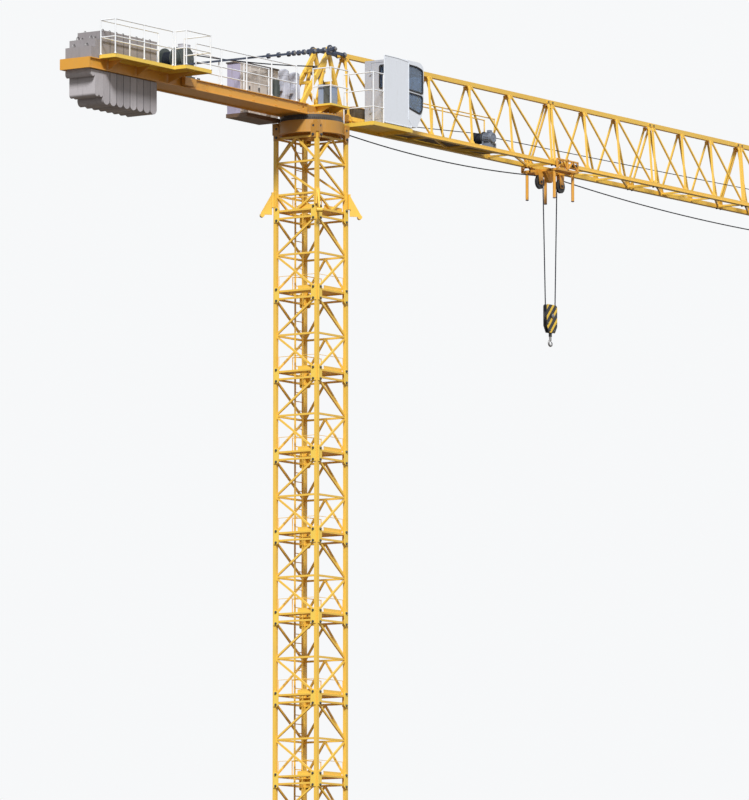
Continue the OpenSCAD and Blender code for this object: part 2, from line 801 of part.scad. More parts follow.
// Round gearbox and motor with cooling ribs, a foot and two small boxes on top
module gearbox(bed_z) {
    ribs = 6;
    step = (gearbox_y[1] - gearbox_y[0] - 14) / (ribs - 1);
    translate([drum_axis[0], gearbox_y[1], drum_axis[1]]) rotate([90, 0, 0])
        cylinder(h = gearbox_y[1] - gearbox_y[0], r = gearbox_r, $fn = 48);
    for (i = [0:ribs - 1])
        translate([drum_axis[0], gearbox_y[1] - i * step, drum_axis[1]]) rotate([90, 0, 0])
            cylinder(h = 14, r = gearbox_r + 20, $fn = 48);
    translate([drum_axis[0] - 130, gearbox_y[0] + 10, bed_z + 10])
        cube([260, gearbox_y[1] - gearbox_y[0] - 10, drum_axis[1] - bed_z - 10]);
    for (x = [-90, 30])
        translate([drum_axis[0] + x, gearbox_y[0] + 20, drum_axis[1] + gearbox_r - 30]) cube([70, 90, 80]);
}

module hoist_drum() {
    flange = 18;
    color(dark) translate([drum_axis[0], 0, drum_axis[1]]) rotate([-90, 0, 0])
        rotate_extrude($fn = 64) difference() {
            union() {
                translate([0, drum_near]) square([drum_rope_r, drum_far - drum_near]);
                for (y = [drum_near, drum_far - flange]) translate([0, y]) square([drum_flange_r, flange]);
                translate([0, drum_near - 30]) square([30 - run_fit, drum_far - drum_near + 60]);
            }
            for (i = [0:7]) translate([drum_rope_r, i * groove_step]) circle(d = rope_d + 2 * fit, $fn = 16);
        }
}

// An upright motor: a flange, a body and a domed cap
module upright_motor(x, y, z, r, top) {
    dome = r * 0.55;
    translate([x, y, z]) rotate_extrude($fn = 48) polygon(concat(
        [[0, 0], [r * 1.25, 0], [r * 1.25, 24], [r, 24]],
        [for (a = [0:15:90]) [r * cos(a), top - z - dome + dome * sin(a)]]));
}

// Two white slewing motors: one on the walkway, one over the turntable's cross members
module slewing_motor() {
    walk = floor_z + floor_t + 2 * fit;
    bed = girder_top + fit;
    color(white) union() {
        translate([-900, -150, walk]) cube([200, 200, 22]);
        upright_motor(-800, -50, walk + 20, 80, jib_z + 610);
        translate([-610, -100, bed]) cube([330, 200, 20]);
        upright_motor(-450, 0, bed + 18, 80, jib_z + 612);
    }
}

module brake_motor() {
    walk = floor_z + floor_t + 2 * fit;
    color(dark) upright_motor(-1010, -50, walk, 56, jib_z + 434);
}

module switch_cabinet() {
    top = jib_z - 95;
    y0 = beam_y + beam_w / 2 + fit;
    depth = [400, 650];
    color(white) union() {
        translate([-1326, y0, top - 62]) cube([878, 668 - y0, 62]);
        translate([-1320, depth[0], top - 1]) cube([1000, depth[1] - depth[0], 785]);
        translate([-1335, depth[0] - 15, top + 783]) cube([1030, depth[1] - depth[0] + 30, 22]);
        for (x = [-1300, -700]) translate([x, 0, 0]) upright_x(16)
            polygon([[y0, top - 20], [y0, beam_z + 100], [y0 + 90, top + 2]]);
    }
}

// Small cabinet on the platform beside the turntable
module control_cabinet() {
    z = girder_top + side_deck_h + 2 * fit;
    color(steel) union() {
        translate([-160, -350, z]) cube([160, 100, jib_z + 418 - z]);
        translate([-166, -358, jib_z + 416]) cube([172, 114, 14]);
    }
}

// The bars of one inclined side of the jib, drawn with x along the jib and y up the slope
slope_y = jib_half_w - top_bar_y;
slope_len = norm([slope_y, jib_h]);
module jib_side_drawing() {
    for (k = [0:len(section_starts) - 1]) {
        x0 = section_starts[k] + end_post_off;
        n = section_bays[k];
        bay = section_bay_len[k];
        for (i = [0:n]) {
            foot = [x0 + i * bay, 0];
            head = [x0 + i * bay + post_lean, slope_len];
            bar2(foot, head, jib_brace_w);
            if (i < n) bar2(head, [x0 + (i + 1) * bay, 0], jib_brace_w);
        }
    }
}

travel_rail_x = 2000;
module jib_side(s) {
    top_cut = jib_z + jib_h - top_chord_w / 2 - fit;
    union() {
        intersection() {
            translate([0, s * jib_half_w, jib_z]) rotate([s * atan2(slope_y, jib_h), 0, 0])
                upright(jib_brace_w) jib_side_drawing();
            translate([0, -jib_half_w * 2, jib_z]) cube([jib_end + 1000, jib_half_w * 4, top_cut - jib_z]);
        }
        for (k = [0:len(section_starts) - 1]) {
            x0 = section_starts[k] + joint_gap;
            x1 = k == len(section_starts) - 1 ? jib_end : section_starts[k + 1];
            translate([x0, s * jib_half_w - low_chord_w / 2, jib_z - low_chord_w / 2])
                cube([x1 - x0, low_chord_w, low_chord_w]);
            rail_x = max(x0, travel_rail_x);
            translate([rail_x, s > 0 ? jib_half_w + low_chord_w / 2 - 1 : -jib_half_w - low_chord_w / 2 - 25,
                       jib_z - low_chord_w / 2])
                cube([x1 - rail_x, 26, 10]);
        }
    }
}

module jib_near_side() {
    color(yellow) jib_side(-1);
}

module jib_far_side() {
    color(yellow) jib_side(1);
}

module jib_top_chord() {
    w = top_chord_w;
    color(yellow) for (k = [0:len(section_starts) - 1]) {
        x0 = k == 0 ? link_end_x - 110 : section_starts[k] + post_lean;
        x1 = k == len(section_starts) - 1 ? jib_end + 60 : section_starts[k + 1] + post_lean;
        difference() {
            translate([x0 + joint_gap, -w / 2, jib_z + jib_h - w / 2]) cube([x1 - x0 - joint_gap, w, w]);
            cross_shaft(link_end_x - 60, jib_z + jib_h, 20 + run_fit, 200);
        }
    }
}

// Cross bars and diagonals between the lower chords
module jib_bottom_bracing() {
    inner = jib_half_w - low_chord_w / 2 - fit;
    color(yellow) difference() {
        union() {
            for (s = [-1, 1]) translate([0, s * 30, 0]) upright(10)
                translate(root_pulley)
                    polygon([[-40, jib_z - root_pulley[1]], [40, jib_z - root_pulley[1]],
                             [30, -30], [-30, -30]]);
            bottom_bars(inner);
        }
        cross_shaft(root_pulley[0], root_pulley[1], sheave_shaft, 200);
    }
}

module bottom_bars(inner) {
    translate([0, 0, jib_z - 15]) linear_extrude(30) intersection() {
        union() {
            translate([root_pulley[0] - 40, -jib_half_w]) square([80, 2 * jib_half_w]);
            for (k = [0:len(section_starts) - 1]) {
                x0 = section_starts[k] + end_post_off;
                n = section_bays[k];
                bay = section_bay_len[k];
                for (i = [0:n]) {
                    side = i % 2 == 0 ? -jib_half_w : jib_half_w;
                    bar2([x0 + i * bay, -jib_half_w], [x0 + i * bay, jib_half_w], 32);
                    if (i < n) bar2([x0 + i * bay, side], [x0 + (i + 1) * bay, -side], 28);
                }
            }
        }
        translate([jib_start, -inner]) square([jib_end, 2 * inner]);
    }
}

catwalk_start = 760;
catwalk_end = 5100;
catwalk_plates = 7;
module jib_catwalk() {
    w = 2 * (jib_half_w - low_chord_w / 2 - 8);
    step = (catwalk_end - catwalk_start) / catwalk_plates;
    color(dark) for (i = [0:catwalk_plates - 1])
        translate([catwalk_start + i * step, -w / 2, jib_z + 15 + fit]) cube([step - 0.6, w, floor_t]);
}

module catwalk_rails() {
    y = 98;
    z = jib_z + 15 + floor_t + 2 * fit;
    top = 520;
    reach = [2000, 4960];
    color(yellow) union() {
        for (s = [-1, 1]) railing([reach[0], s * y, z], [reach[1], s * y, z], top, [top], 2);
    }
}

// Small winch on the catwalk that hauls the trolley: a drum on the far side, a motor on the near side
travel_x = 4780;
travel_z = jib_z + 217;
travel_near = -30;
travel_far = 170;
travel_rope_r = 80;
travel_flange_r = 108;
travel_rope_d = 14;
travel_step = 18;
travel_motor_r = 86;
module trolley_winch_frame() {
    z = jib_z + 15 + floor_t + 2 * fit;
    cheek_t = 16;
    end_y = -190;
    color(dark) difference() {
        union() {
            translate([travel_x - 150, end_y, z]) cube([300, travel_far + 24 - end_y, 26]);
            for (y = [travel_near - 4 - cheek_t / 2, travel_far + 4 + cheek_t / 2])
                translate([travel_x, y, 0]) upright(cheek_t)
                    polygon([[-110, z + 5], [110, z + 5], [45, travel_z + 40], [-45, travel_z + 40]]);
            translate([travel_x, travel_near - 6, travel_z]) rotate([90, 0, 0])
                cylinder(h = travel_near - 6 - end_y, r = travel_motor_r, $fn = 48);
            translate([travel_x - 50, end_y + 20, z + 5])
                cube([100, travel_near - end_y - 30, travel_z - z - 5]);
            translate([travel_x + 50, end_y + 70, travel_z - 20]) rotate([0, 90, 0])
                cylinder(h = 90, r = 24, $fn = 32);
            translate([travel_x + 90, end_y + 30, z + 5]) cube([50, 90, 110]);
        }
        translate([travel_x, travel_near - 26, travel_z]) rotate([-90, 0, 0])
            cylinder(h = travel_far - travel_near + 60, r = 20, $fn = 32);
    }
}

module trolley_drum() {
    flange = 14;
    color(dark) translate([travel_x, 0, travel_z]) rotate([-90, 0, 0])
        rotate_extrude($fn = 64) difference() {
            union() {
                translate([0, travel_near]) square([travel_rope_r, travel_far - travel_near]);
                for (y = [travel_near, travel_far - flange])
                    translate([0, y]) square([travel_flange_r, flange]);
                translate([0, travel_near - 20]) square([20 - run_fit, travel_far - travel_near + 40]);
            }
            for (i = [0:8]) translate([travel_rope_r, i * travel_step])
                circle(d = travel_rope_d + 2 * fit, $fn = 16);
        }
}

// End frame of the jib with its rope pulleys
module jib_tip() {
    top = jib_z + jib_h - top_chord_w / 2 - fit;
    color(yellow) union() {
        translate([jib_end + fit, -jib_half_w - 50, jib_z - 45]) cube([70, 2 * jib_half_w + 100, 90]);
        for (s = [-1, 1]) translate([0, s * 40, 0]) upright(14)
            polygon([[jib_end + 10, jib_z + 30], [jib_end + 60, jib_z + 30], [jib_end + 60, top],
                     [jib_end, top]]);
        cross_shaft(jib_end + 35, jib_z + tip_pulley_z, tip_pulley_r, 80);
        translate([jib_end + 15, -20, jib_z - 220]) cube([40, 40, 190]);
    }
}

module cab_platform() {
    x0 = cab_deck_x;
    x1 = 1620;
    y0 = -800;
    y1 = -145;
    d = 60;
    color(yellow) union() {
        translate([x0, y0, cab_floor_z - d]) difference() {
            cube([x1 - x0, y1 - y0, d]);
            translate([12, 12, -1]) cube([x1 - x0 - 24, y1 - y0 - 24, d - floor_t + 1]);
            translate([-1, y1 - y0 - 60, -1]) cube([62, 70, d + 2]);
        }
        for (x = [700, 1150, 1560]) translate([x, -jib_half_w - 20, cab_floor_z - 10])
            cube([30, 40, jib_z - low_chord_w / 2 - fit - cab_floor_z + 10]);
    }
}

module cab_railing() {
    z = cab_floor_z + fit;
    h = 770;
    rails = [h, h * 0.64, h * 0.3];
    union() {
        corner = [cab_deck_x + 12, -786, z];
        railing(corner, [corner[0], -girder_y - girder_w / 2 - 14, z], h, rails, 1);
        railing(corner, [cab_x - 190, corner[1], z], h, rails, 1);
    }
}

module side_railing() {
    z = girder_top + side_deck_h + 2 * fit;
    h = 560;
    union() {
        railing([-186, side_y[0] + 14, z], [-186, side_y[1] - 40, z], h, [h, h / 2], 1);
        railing([-186, side_y[0] + 14, z], [286, side_y[0] + 14, z], h, [h, h / 2], 1);
    }
}

// All the white handrails of the upper works
module handrails() {
    color(white) {
        counterjib_railings();
        cab_railing();
        side_railing();
    }
}

// Side outline of the cab: the roof rises from the rear, then curves down to a raked front
cab_front = cab_x + cab_len;
module cab_outline() {
    roof = cab_z + cab_h;
    polygon(concat(
        [[cab_x, cab_z], [cab_x, roof - 42], [cab_x + 330, roof], [cab_front - 260, roof]],
        [for (a = [80:-10:20]) [cab_front - 150 + 150 * cos(a), roof - 110 + 110 * sin(a)]],
        [[cab_front, roof - 160], [cab_front - 5, cab_z + 450], [cab_front - 50, cab_z + 208],
         [cab_front - 190, cab_z]]));
}

window_x = cab_front - 435;
screen_x = cab_front - 150;
module upper_window() {
    translate([window_x, cab_z])
        polygon([[0, 579], [0, 967], [230, 962], [395, 925], [400, 555]]);
}

module lower_window() {
    translate([window_x, cab_z])
        polygon([[0, 295], [0, 530], [395, 510], [385, 300], [325, 226]]);
}

door_y = cab_y - 120;
door_z = cab_z + 60;
door_h = 900;
hinge_x = cab_x - 9;
hinge_r = 5;
hinge_levels = [door_z + 120, door_z + door_h - 180];
module hinge_pins() {
    for (z = hinge_levels) {
        translate([hinge_x, door_y, z - 14]) cylinder(h = 88, r = hinge_r, $fn = 32);
        for (dz = [-14, 62]) translate([hinge_x - 8, door_y - 4, z + dz]) cube([cab_x - hinge_x + 9, 26, 12]);
    }
}

// Two skids carry the cab on its platform
module cab_skids() {
    w = 40;
    for (y = [cab_y - 80, cab_y - cab_w + 40])
        translate([cab_x + 20, y, cab_floor_z + fit]) cube([550, w, cab_z - cab_floor_z + 2]);
}

module cab_shell() {
    color(white) hinge_pins();
    color(white) cab_skids();
    color(white) difference() {
        translate([0, cab_y - cab_w / 2, 0]) upright(cab_w) cab_outline();
        translate([0, cab_y - cab_w / 2, 0]) upright(cab_w - 2 * cab_wall)
            offset(delta = -cab_wall) cab_outline();
        for (y = [cab_y, cab_y - cab_w]) translate([0, y, 0]) upright(4 * cab_wall) {
            upper_window();
            lower_window();
        }
        translate([screen_x, cab_y - cab_w + 40, cab_z + 60]) cube([200, cab_w - 80, 790]);
        translate([cab_x - 5, door_y - door_w, door_z]) cube([cab_wall + 10, door_w, door_h]);
    }
}

module cab_glass() {
    glass = 6;
    color("#7f93a8") {
        for (y = [cab_y - cab_wall / 2, cab_y - cab_w + cab_wall / 2])
            translate([0, y, 0]) upright(glass) offset(delta = -fit) {
                upper_window();
                lower_window();
            }
        intersection() {
            translate([0, cab_y - cab_w / 2, 0]) upright(cab_w - 81) difference() {
                offset(delta = -cab_wall / 2 + glass / 2) cab_outline();
                offset(delta = -cab_wall / 2 - glass / 2) cab_outline();
            }
            translate([screen_x + fit, cab_y - cab_w, cab_z + 60 + fit]) cube([200, cab_w, 790 - 2 * fit]);
        }
    }
}

module cab_side_panel() {
    t = 14;
    h = cab_h - 5;
    color(white) translate([cab_x - 170, cab_y - cab_w - t / 2 - fit, cab_z]) upright(t)
        polygon([[0, -20], [0, h], [370, h - 3], [665, h - 25], [665, 100], [740, 20], [740, -20]]);
}

module cab_door() {
    t = cab_wall;
    gap = 5;
    color(white) difference() {
        union() {
            translate([cab_x, door_y - door_w + gap, door_z + gap])
                cube([t, door_w - 2 * gap, door_h - 2 * gap]);
            for (z = hinge_levels) {
                translate([hinge_x, door_y, z]) cylinder(h = 60, r = 9, $fn = 32);
                translate([cab_x - 6, door_y - 70, z]) cube([7, 66, 60]);
            }
        }
        for (z = hinge_levels) translate([hinge_x, door_y, z - 1])
            cylinder(h = 62, r = hinge_r + run_fit, $fn = 32);
        translate([cab_x - 1, door_y - 280, door_z + 490]) cube([t + 2, 118, 360]);
    }
}

// Trolley: a deck under the chords, side trusses outside them, and four hanging tubes
frame_half = 450;
truss_y = jib_half_w + low_chord_w / 2 + 60;
wheel_r = 30;
end_x = frame_half * 0.97;
wheel_x = end_x - 60;
wheel_z = jib_z - low_chord_w / 2 + 10 + wheel_r + fit;
trolley_deck_z = jib_z - low_chord_w / 2 - 90;
truss_t = 26;
module trolley_trusses() {
    z0 = trolley_deck_z;
    z1 = jib_z + 230;
    color(yellow) for (s = [-1, 1]) translate([trolley_x, s * truss_y, 0]) upright(truss_t) {
        bar2([-frame_half, jib_z + 60], [frame_half, jib_z + 60], 30);
        bar2([-frame_half, z0 + 20], [frame_half, z0 + 20], 40);
        bar2([-frame_half * 0.6, z1], [frame_half * 0.6, z1], 28);
        for (x = [-1, -0.33, 0.33, 1])
            bar2([x * end_x, z0 + 20], [x * end_x, jib_z + 60], 30);
        for (x = [-1, 1]) {
            bar2([x * end_x, wheel_z], [x * wheel_x, wheel_z], 40);
            translate([x * wheel_x, wheel_z]) circle(d = 60, $fn = 32);
            bar2([x * end_x, jib_z + 60], [x * frame_half * 0.6, z1], 26);
            bar2([x * frame_half * 0.6, z1], [x * frame_half * 0.33, jib_z + 60], 26);
            bar2([0, z1], [x * frame_half * 0.33, jib_z + 60], 26);
        }
    }
}

module trolley_frame() {
    z0 = trolley_deck_z;
    c = fall_half + sheave_r;
    deck_y = truss_y - truss_t / 2 - fit;
    color(yellow) translate([trolley_x, 0, 0]) difference() {
        union() {
            for (x = [-frame_half + 20, frame_half - 60])
                translate([x, -deck_y, z0]) cube([40, 2 * deck_y, 40]);
            for (s = [-1, 1], y = [-1, 1]) {
                translate([s * 270, y * 265, z0 - 450]) cylinder(h = 460, d = 50, $fn = 12);
                translate([s * 270 - 30, y > 0 ? 200 : -deck_y, z0]) cube([60, deck_y - 200, 40]);
                translate([0, y * 30, 0]) upright(12)
                    polygon([[s * (c - 60), z0 + 40], [s * (c - 40), falls_z - 40],
                             [s * (c + 40), falls_z - 40], [s * (c + 75), z0 + 40]]);
            }
            for (y = [-1, 1]) translate([-frame_half + 20, y * 200 - 20, z0])
                cube([2 * frame_half - 40, 40, 40]);
            for (s = [-1, 1]) translate([s * 270 - 25, -220, z0]) cube([50, 440, 30]);
        }
        for (s = [-1, 1]) cross_shaft(s * c, falls_z, sheave_shaft, 200);
    }
}

module trolley_wheels() {
    rail_y = jib_half_w + low_chord_w / 2 + 14;
    color(dark) for (x = [-1, 1], s = [-1, 1])
        translate([trolley_x + x * wheel_x, s * rail_y, wheel_z])
            rotate([90 * s, 0, 0]) union() {
                translate([0, 0, -8]) cylinder(h = 16, r = wheel_r, $fn = 32);
                translate([0, 0, -(truss_y - rail_y) + 13 + fit])
                    cylinder(h = truss_y - rail_y - 13, r = 10, $fn = 24);
            }
}

module sheave_on_shaft(r, len) {
    sheave(r, 34, 10);
    rotate([90, 0, 0]) translate([0, 0, -len / 2]) cylinder(h = len, r = sheave_shaft - run_fit, $fn = 32);
}

module trolley_sheave_in() {
    color(steel) translate([trolley_x - fall_half - sheave_r, 0, falls_z]) sheave_on_shaft(sheave_r, 80);
}

module trolley_sheave_out() {
    color(steel) translate([trolley_x + fall_half + sheave_r, 0, falls_z]) sheave_on_shaft(sheave_r, 80);
}

// Hook block: two cheeks with weights round one sheave
module hook_block() {
    x = trolley_x;
    color(dark) difference() {
        union() {
            for (s = [-1, 1]) translate([x, s * 40, block_top - block_h]) upright(24)
                polygon([[-165, 120], [-165, block_h - 30], [-120, block_h], [120, block_h],
                         [165, block_h - 30], [165, 120], [90, 0], [-90, 0]]);
            translate([x - 70, -40, block_top - block_h]) cube([140, 80, 70]);
            translate([x, 0, block_top - block_h - 60]) cylinder(h = 62, r = 30, $fn = 32);
        }
        cross_shaft(x, block_axis_z, sheave_shaft, 200);
    }
}

module block_sheave() {
    color(steel) translate([trolley_x, 0, block_axis_z]) sheave_on_shaft(block_r, 100);
}

// Hook: a shank with an open curved hook below it
module hook() {
    top = block_top - block_h - 60 - fit;
    r = 46;
    color(steel) translate([trolley_x, 0, top]) union() {
        translate([0, 0, -60]) cylinder(h = 60, r = 20, $fn = 32);
        translate([0, 0, -60 - r]) rotate([90, 0, 0]) rotate([0, 0, 110])
            rotate_extrude(angle = 250, $fn = 48) translate([r, 0]) circle(d = 30, $fn = 24);
        translate([0, 0, -78]) cylinder(h = 30, r = 19, $fn = 32);
    }
}

// Ropes: a tube of eight sides swept along a list of points, each ring upright to X or Z
function ring_points(p, q, d) = let (t = (q - p) / norm(q - p), side = [0, 1, 0], up = cross(t, side))
    [for (k = [0:7]) d / 2 * (side * cos(k * 45) + up * sin(k * 45))];

module rope(points, d) {
    n = len(points);
    rings = [for (i = [0:n - 1]) let (o = ring_points(points[max(0, i - 1)], points[min(n - 1, i + 1)], d))
        for (k = [0:7]) points[i] + o[k]];
    walls = [for (i = [0:n - 2], k = [0:7]) let (a = i * 8 + k, b = i * 8 + (k + 1) % 8)
        [a, a + 8, b + 8, b]];
    ends = [[for (k = [0:7]) k], [for (k = [7:-1:0]) (n - 1) * 8 + k]];
    color(rope_colour) polyhedron(points = rings, faces = concat(walls, ends), convexity = 8);
}

// A sagging run between two points: a parabola that drops by sag in the middle
function sagging(a, b, sag, n) =
    [for (i = [0:n]) let (t = i / n) a + (b - a) * t - [0, 0, 4 * sag * t * (1 - t)]];

// Points of a rope that lies on a wheel, from angle a0 to a1, seen from the near side
function on_wheel(c, r, a) = [c[0] + (r + fit) * cos(a), 0, c[1] + (r + fit) * sin(a)];
function wrap(c, r, a0, a1, n) = let (r1 = (r - rope_d / 2 + fit) / cos((a1 - a0) / n / 2) + rope_d / 2 - fit)
    [for (i = [0:n]) on_wheel(c, r1, a0 + (a1 - a0) * i / n)];

// Angle at which a straight run leaves one wheel and crosses over to the other side of the next
function cross_angle(c0, r0, c1, r1) =
    atan2(c1[1] - c0[1], c1[0] - c0[0]) + acos((r0 + r1 + 2 * fit) / norm(c1 - c0));

apex_wheel = [pulley_x, pulley_z];
top_run_sag = 45;
inner_sag = 105;
outer_sag = 160;
inner_wheel = [trolley_x - fall_half - sheave_r, falls_z];
outer_wheel = [trolley_x + fall_half + sheave_r, falls_z];
inner_leave = 94.1;
outer_leave = 86.3;
top_leave = 91.2;
top_arrive = 96.8;
module hoist_rope_top() {
    down = cross_angle(apex_wheel, pulley_r, root_pulley, root_r);
    start = on_wheel(drum_axis, drum_rope_r, top_leave);
    run = sagging(start, on_wheel(apex_wheel, pulley_r, top_arrive), top_run_sag, 10);
    rope(concat(run, wrap(apex_wheel, pulley_r, 85, down, 5),
                wrap(root_pulley, root_r, down + 180, 265, 5)), rope_d);
}

module hoist_rope_inner() {
    a = on_wheel(root_pulley, root_r, 265.4) + [joint_gap, 0, 0];
    b = on_wheel(inner_wheel, sheave_r, inner_leave);
    rope(sagging(a, b, inner_sag, 14), rope_d);
}

module hoist_rope_outer() {
    a = on_wheel(outer_wheel, sheave_r, outer_leave);
    b = [jib_end + 14, 0, jib_z - 200];
    rope(sagging(a, b, outer_sag, 20), rope_d);
}

module travel_rope() {
    top = travel_z + travel_rope_r + fit;
    a = [travel_x, 7 * travel_step, top];
    b = [jib_end + 35, 20, jib_z + tip_pulley_z + tip_pulley_r + travel_rope_d / 2 + fit];
    rope(sagging(a, b, 12, 16), travel_rope_d);
    c = [travel_x - 1, 3 * travel_step, top];
    d = [jib_start + fit, 3 * travel_step, jib_z + 46];
    rope(sagging(c, d, 6, 8), travel_rope_d);
}

// The falls: over the inner sheave, down, under the block's sheave, up and over the outer sheave
module rope_falls() {
    block = [trolley_x, block_axis_z];
    down = cross_angle(inner_wheel, sheave_r, block, block_r);
    gap = 0.9;
    rope(concat(wrap(inner_wheel, sheave_r, inner_leave - gap, down, 6),
                wrap(block, block_r, 180 + down, 360 - down, 12),
                wrap(outer_wheel, sheave_r, 180 - down, outer_leave + gap, 6)), rope_d);
}

anchor_frame();
anchor_feet();
tower_near_left();
tower_near_right();
tower_far_left();
tower_far_right();
tower_fishplates();
tower_platforms();
tower_ladders();
climbing_brackets();
slewing_drum();
slewing_ring_lower();
slewing_ring_upper();
turntable();
apex_frame();
apex_links();
rope_pulley();
root_pulley_wheel();  // root_pulley
side_platform();
tie_bars();
counterjib_beams();
counterjib_floor();
counterjib_platforms();
handrails();
ballast_slabs();
winch_frame();
hoist_drum();
slewing_motor();
brake_motor();
switch_cabinet();
control_cabinet();
jib_near_side();
jib_far_side();
jib_top_chord();
jib_bottom_bracing();
jib_catwalk();
catwalk_rails();
trolley_winch_frame();
trolley_drum();
jib_tip();
cab_platform();
cab_shell();
cab_glass();
cab_side_panel();
cab_door();
trolley_frame();
trolley_trusses();
trolley_wheels();
trolley_sheave_in();
trolley_sheave_out();
hook_block();
block_sheave();
hook();
hoist_rope_top();
hoist_rope_inner();
hoist_rope_outer();
travel_rope();
rope_falls();
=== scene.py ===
import bpy
import numpy as np
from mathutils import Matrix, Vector


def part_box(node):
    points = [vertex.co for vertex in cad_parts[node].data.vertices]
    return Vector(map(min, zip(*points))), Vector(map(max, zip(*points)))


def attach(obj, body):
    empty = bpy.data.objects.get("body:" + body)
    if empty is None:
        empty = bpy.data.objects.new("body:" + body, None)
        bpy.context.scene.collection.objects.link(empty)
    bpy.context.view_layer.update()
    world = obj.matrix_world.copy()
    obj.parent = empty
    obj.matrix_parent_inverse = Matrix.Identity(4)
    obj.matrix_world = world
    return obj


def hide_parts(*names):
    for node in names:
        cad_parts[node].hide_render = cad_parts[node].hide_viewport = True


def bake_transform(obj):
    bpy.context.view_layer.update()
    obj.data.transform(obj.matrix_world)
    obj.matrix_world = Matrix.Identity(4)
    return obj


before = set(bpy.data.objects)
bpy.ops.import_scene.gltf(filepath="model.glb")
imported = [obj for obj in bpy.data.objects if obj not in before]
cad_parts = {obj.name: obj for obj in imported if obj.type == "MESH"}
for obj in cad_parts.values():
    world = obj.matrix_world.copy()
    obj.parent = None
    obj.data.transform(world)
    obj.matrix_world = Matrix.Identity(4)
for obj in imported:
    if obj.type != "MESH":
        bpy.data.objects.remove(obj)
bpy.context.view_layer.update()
tau = 2 * np.pi

# levels and places that many pieces share, in metres
legHalf = 0.029
half = -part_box("tower_near_left")[0].x - legHalf  # from the tower's axis to a leg's axis
towerZ, sectionH, sectionCount = 0.29, 1.25, 13
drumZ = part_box("slewing_drum")[1].z - 0.195
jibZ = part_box("jib_near_side")[0].z + 0.033  # axis of the lower chords
deckZ = jibZ - 0.056
beamTop = deckZ + 0.152
girderTop = beamTop - 0.006
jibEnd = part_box("jib_tip")[1].x - 0.095  # the tip pulley reaches 95 mm past the last post
trolleyX = 6.72
print("frame loaded, jib level", round(jibZ, 4), "jib end", round(jibEnd, 4))


# camera
view = dict(place=(-93.6077, -66.2330, 0.6138), lookAt=(1.0455, -0.4734, 13.7451), lens=336.2)
cameraData = bpy.data.cameras.new("camera")
cameraData.lens = view["lens"]
cameraData.sensor_width = 36
cameraData.clip_end = 600
camera = bpy.data.objects.new("camera", cameraData)
camera.location = view["place"]
camera.rotation_mode = "QUATERNION"
camera.rotation_quaternion = (Vector(view["lookAt"]) - Vector(view["place"])).to_track_quat("-Z", "Y")
bpy.context.collection.objects.link(camera)
bpy.context.scene.camera = camera
bpy.context.scene.view_settings.view_transform = "Standard"


# shader sums written as Python
class Wire:
    # one output socket, usable in a formula: each operator adds the node that works it out
    def __init__(self, paint, socket):
        self.paint, self.socket = paint, socket

    def sum(self, operation, first, second=0.0):
        return self.paint.add("ShaderNodeMath", dict(operation=operation), {0: first, 1: second})

    def __add__(self, other): return self.sum("ADD", self, other)
    def __radd__(self, other): return self.sum("ADD", other, self)
    def __sub__(self, other): return self.sum("SUBTRACT", self, other)
    def __rsub__(self, other): return self.sum("SUBTRACT", other, self)
    def __mul__(self, other): return self.sum("MULTIPLY", self, other)
    def __rmul__(self, other): return self.sum("MULTIPLY", other, self)
    def __truediv__(self, other): return self.sum("DIVIDE", self, other)
    def __pow__(self, other): return self.sum("POWER", self, other)
    def __gt__(self, other): return self.sum("GREATER_THAN", self, other)
    def __lt__(self, other): return self.sum("LESS_THAN", self, other)
    def wave(self): return self.sum("SINE", self)
    def part(self): return self.sum("FRACT", self)
    def size(self): return self.sum("ABSOLUTE", self)


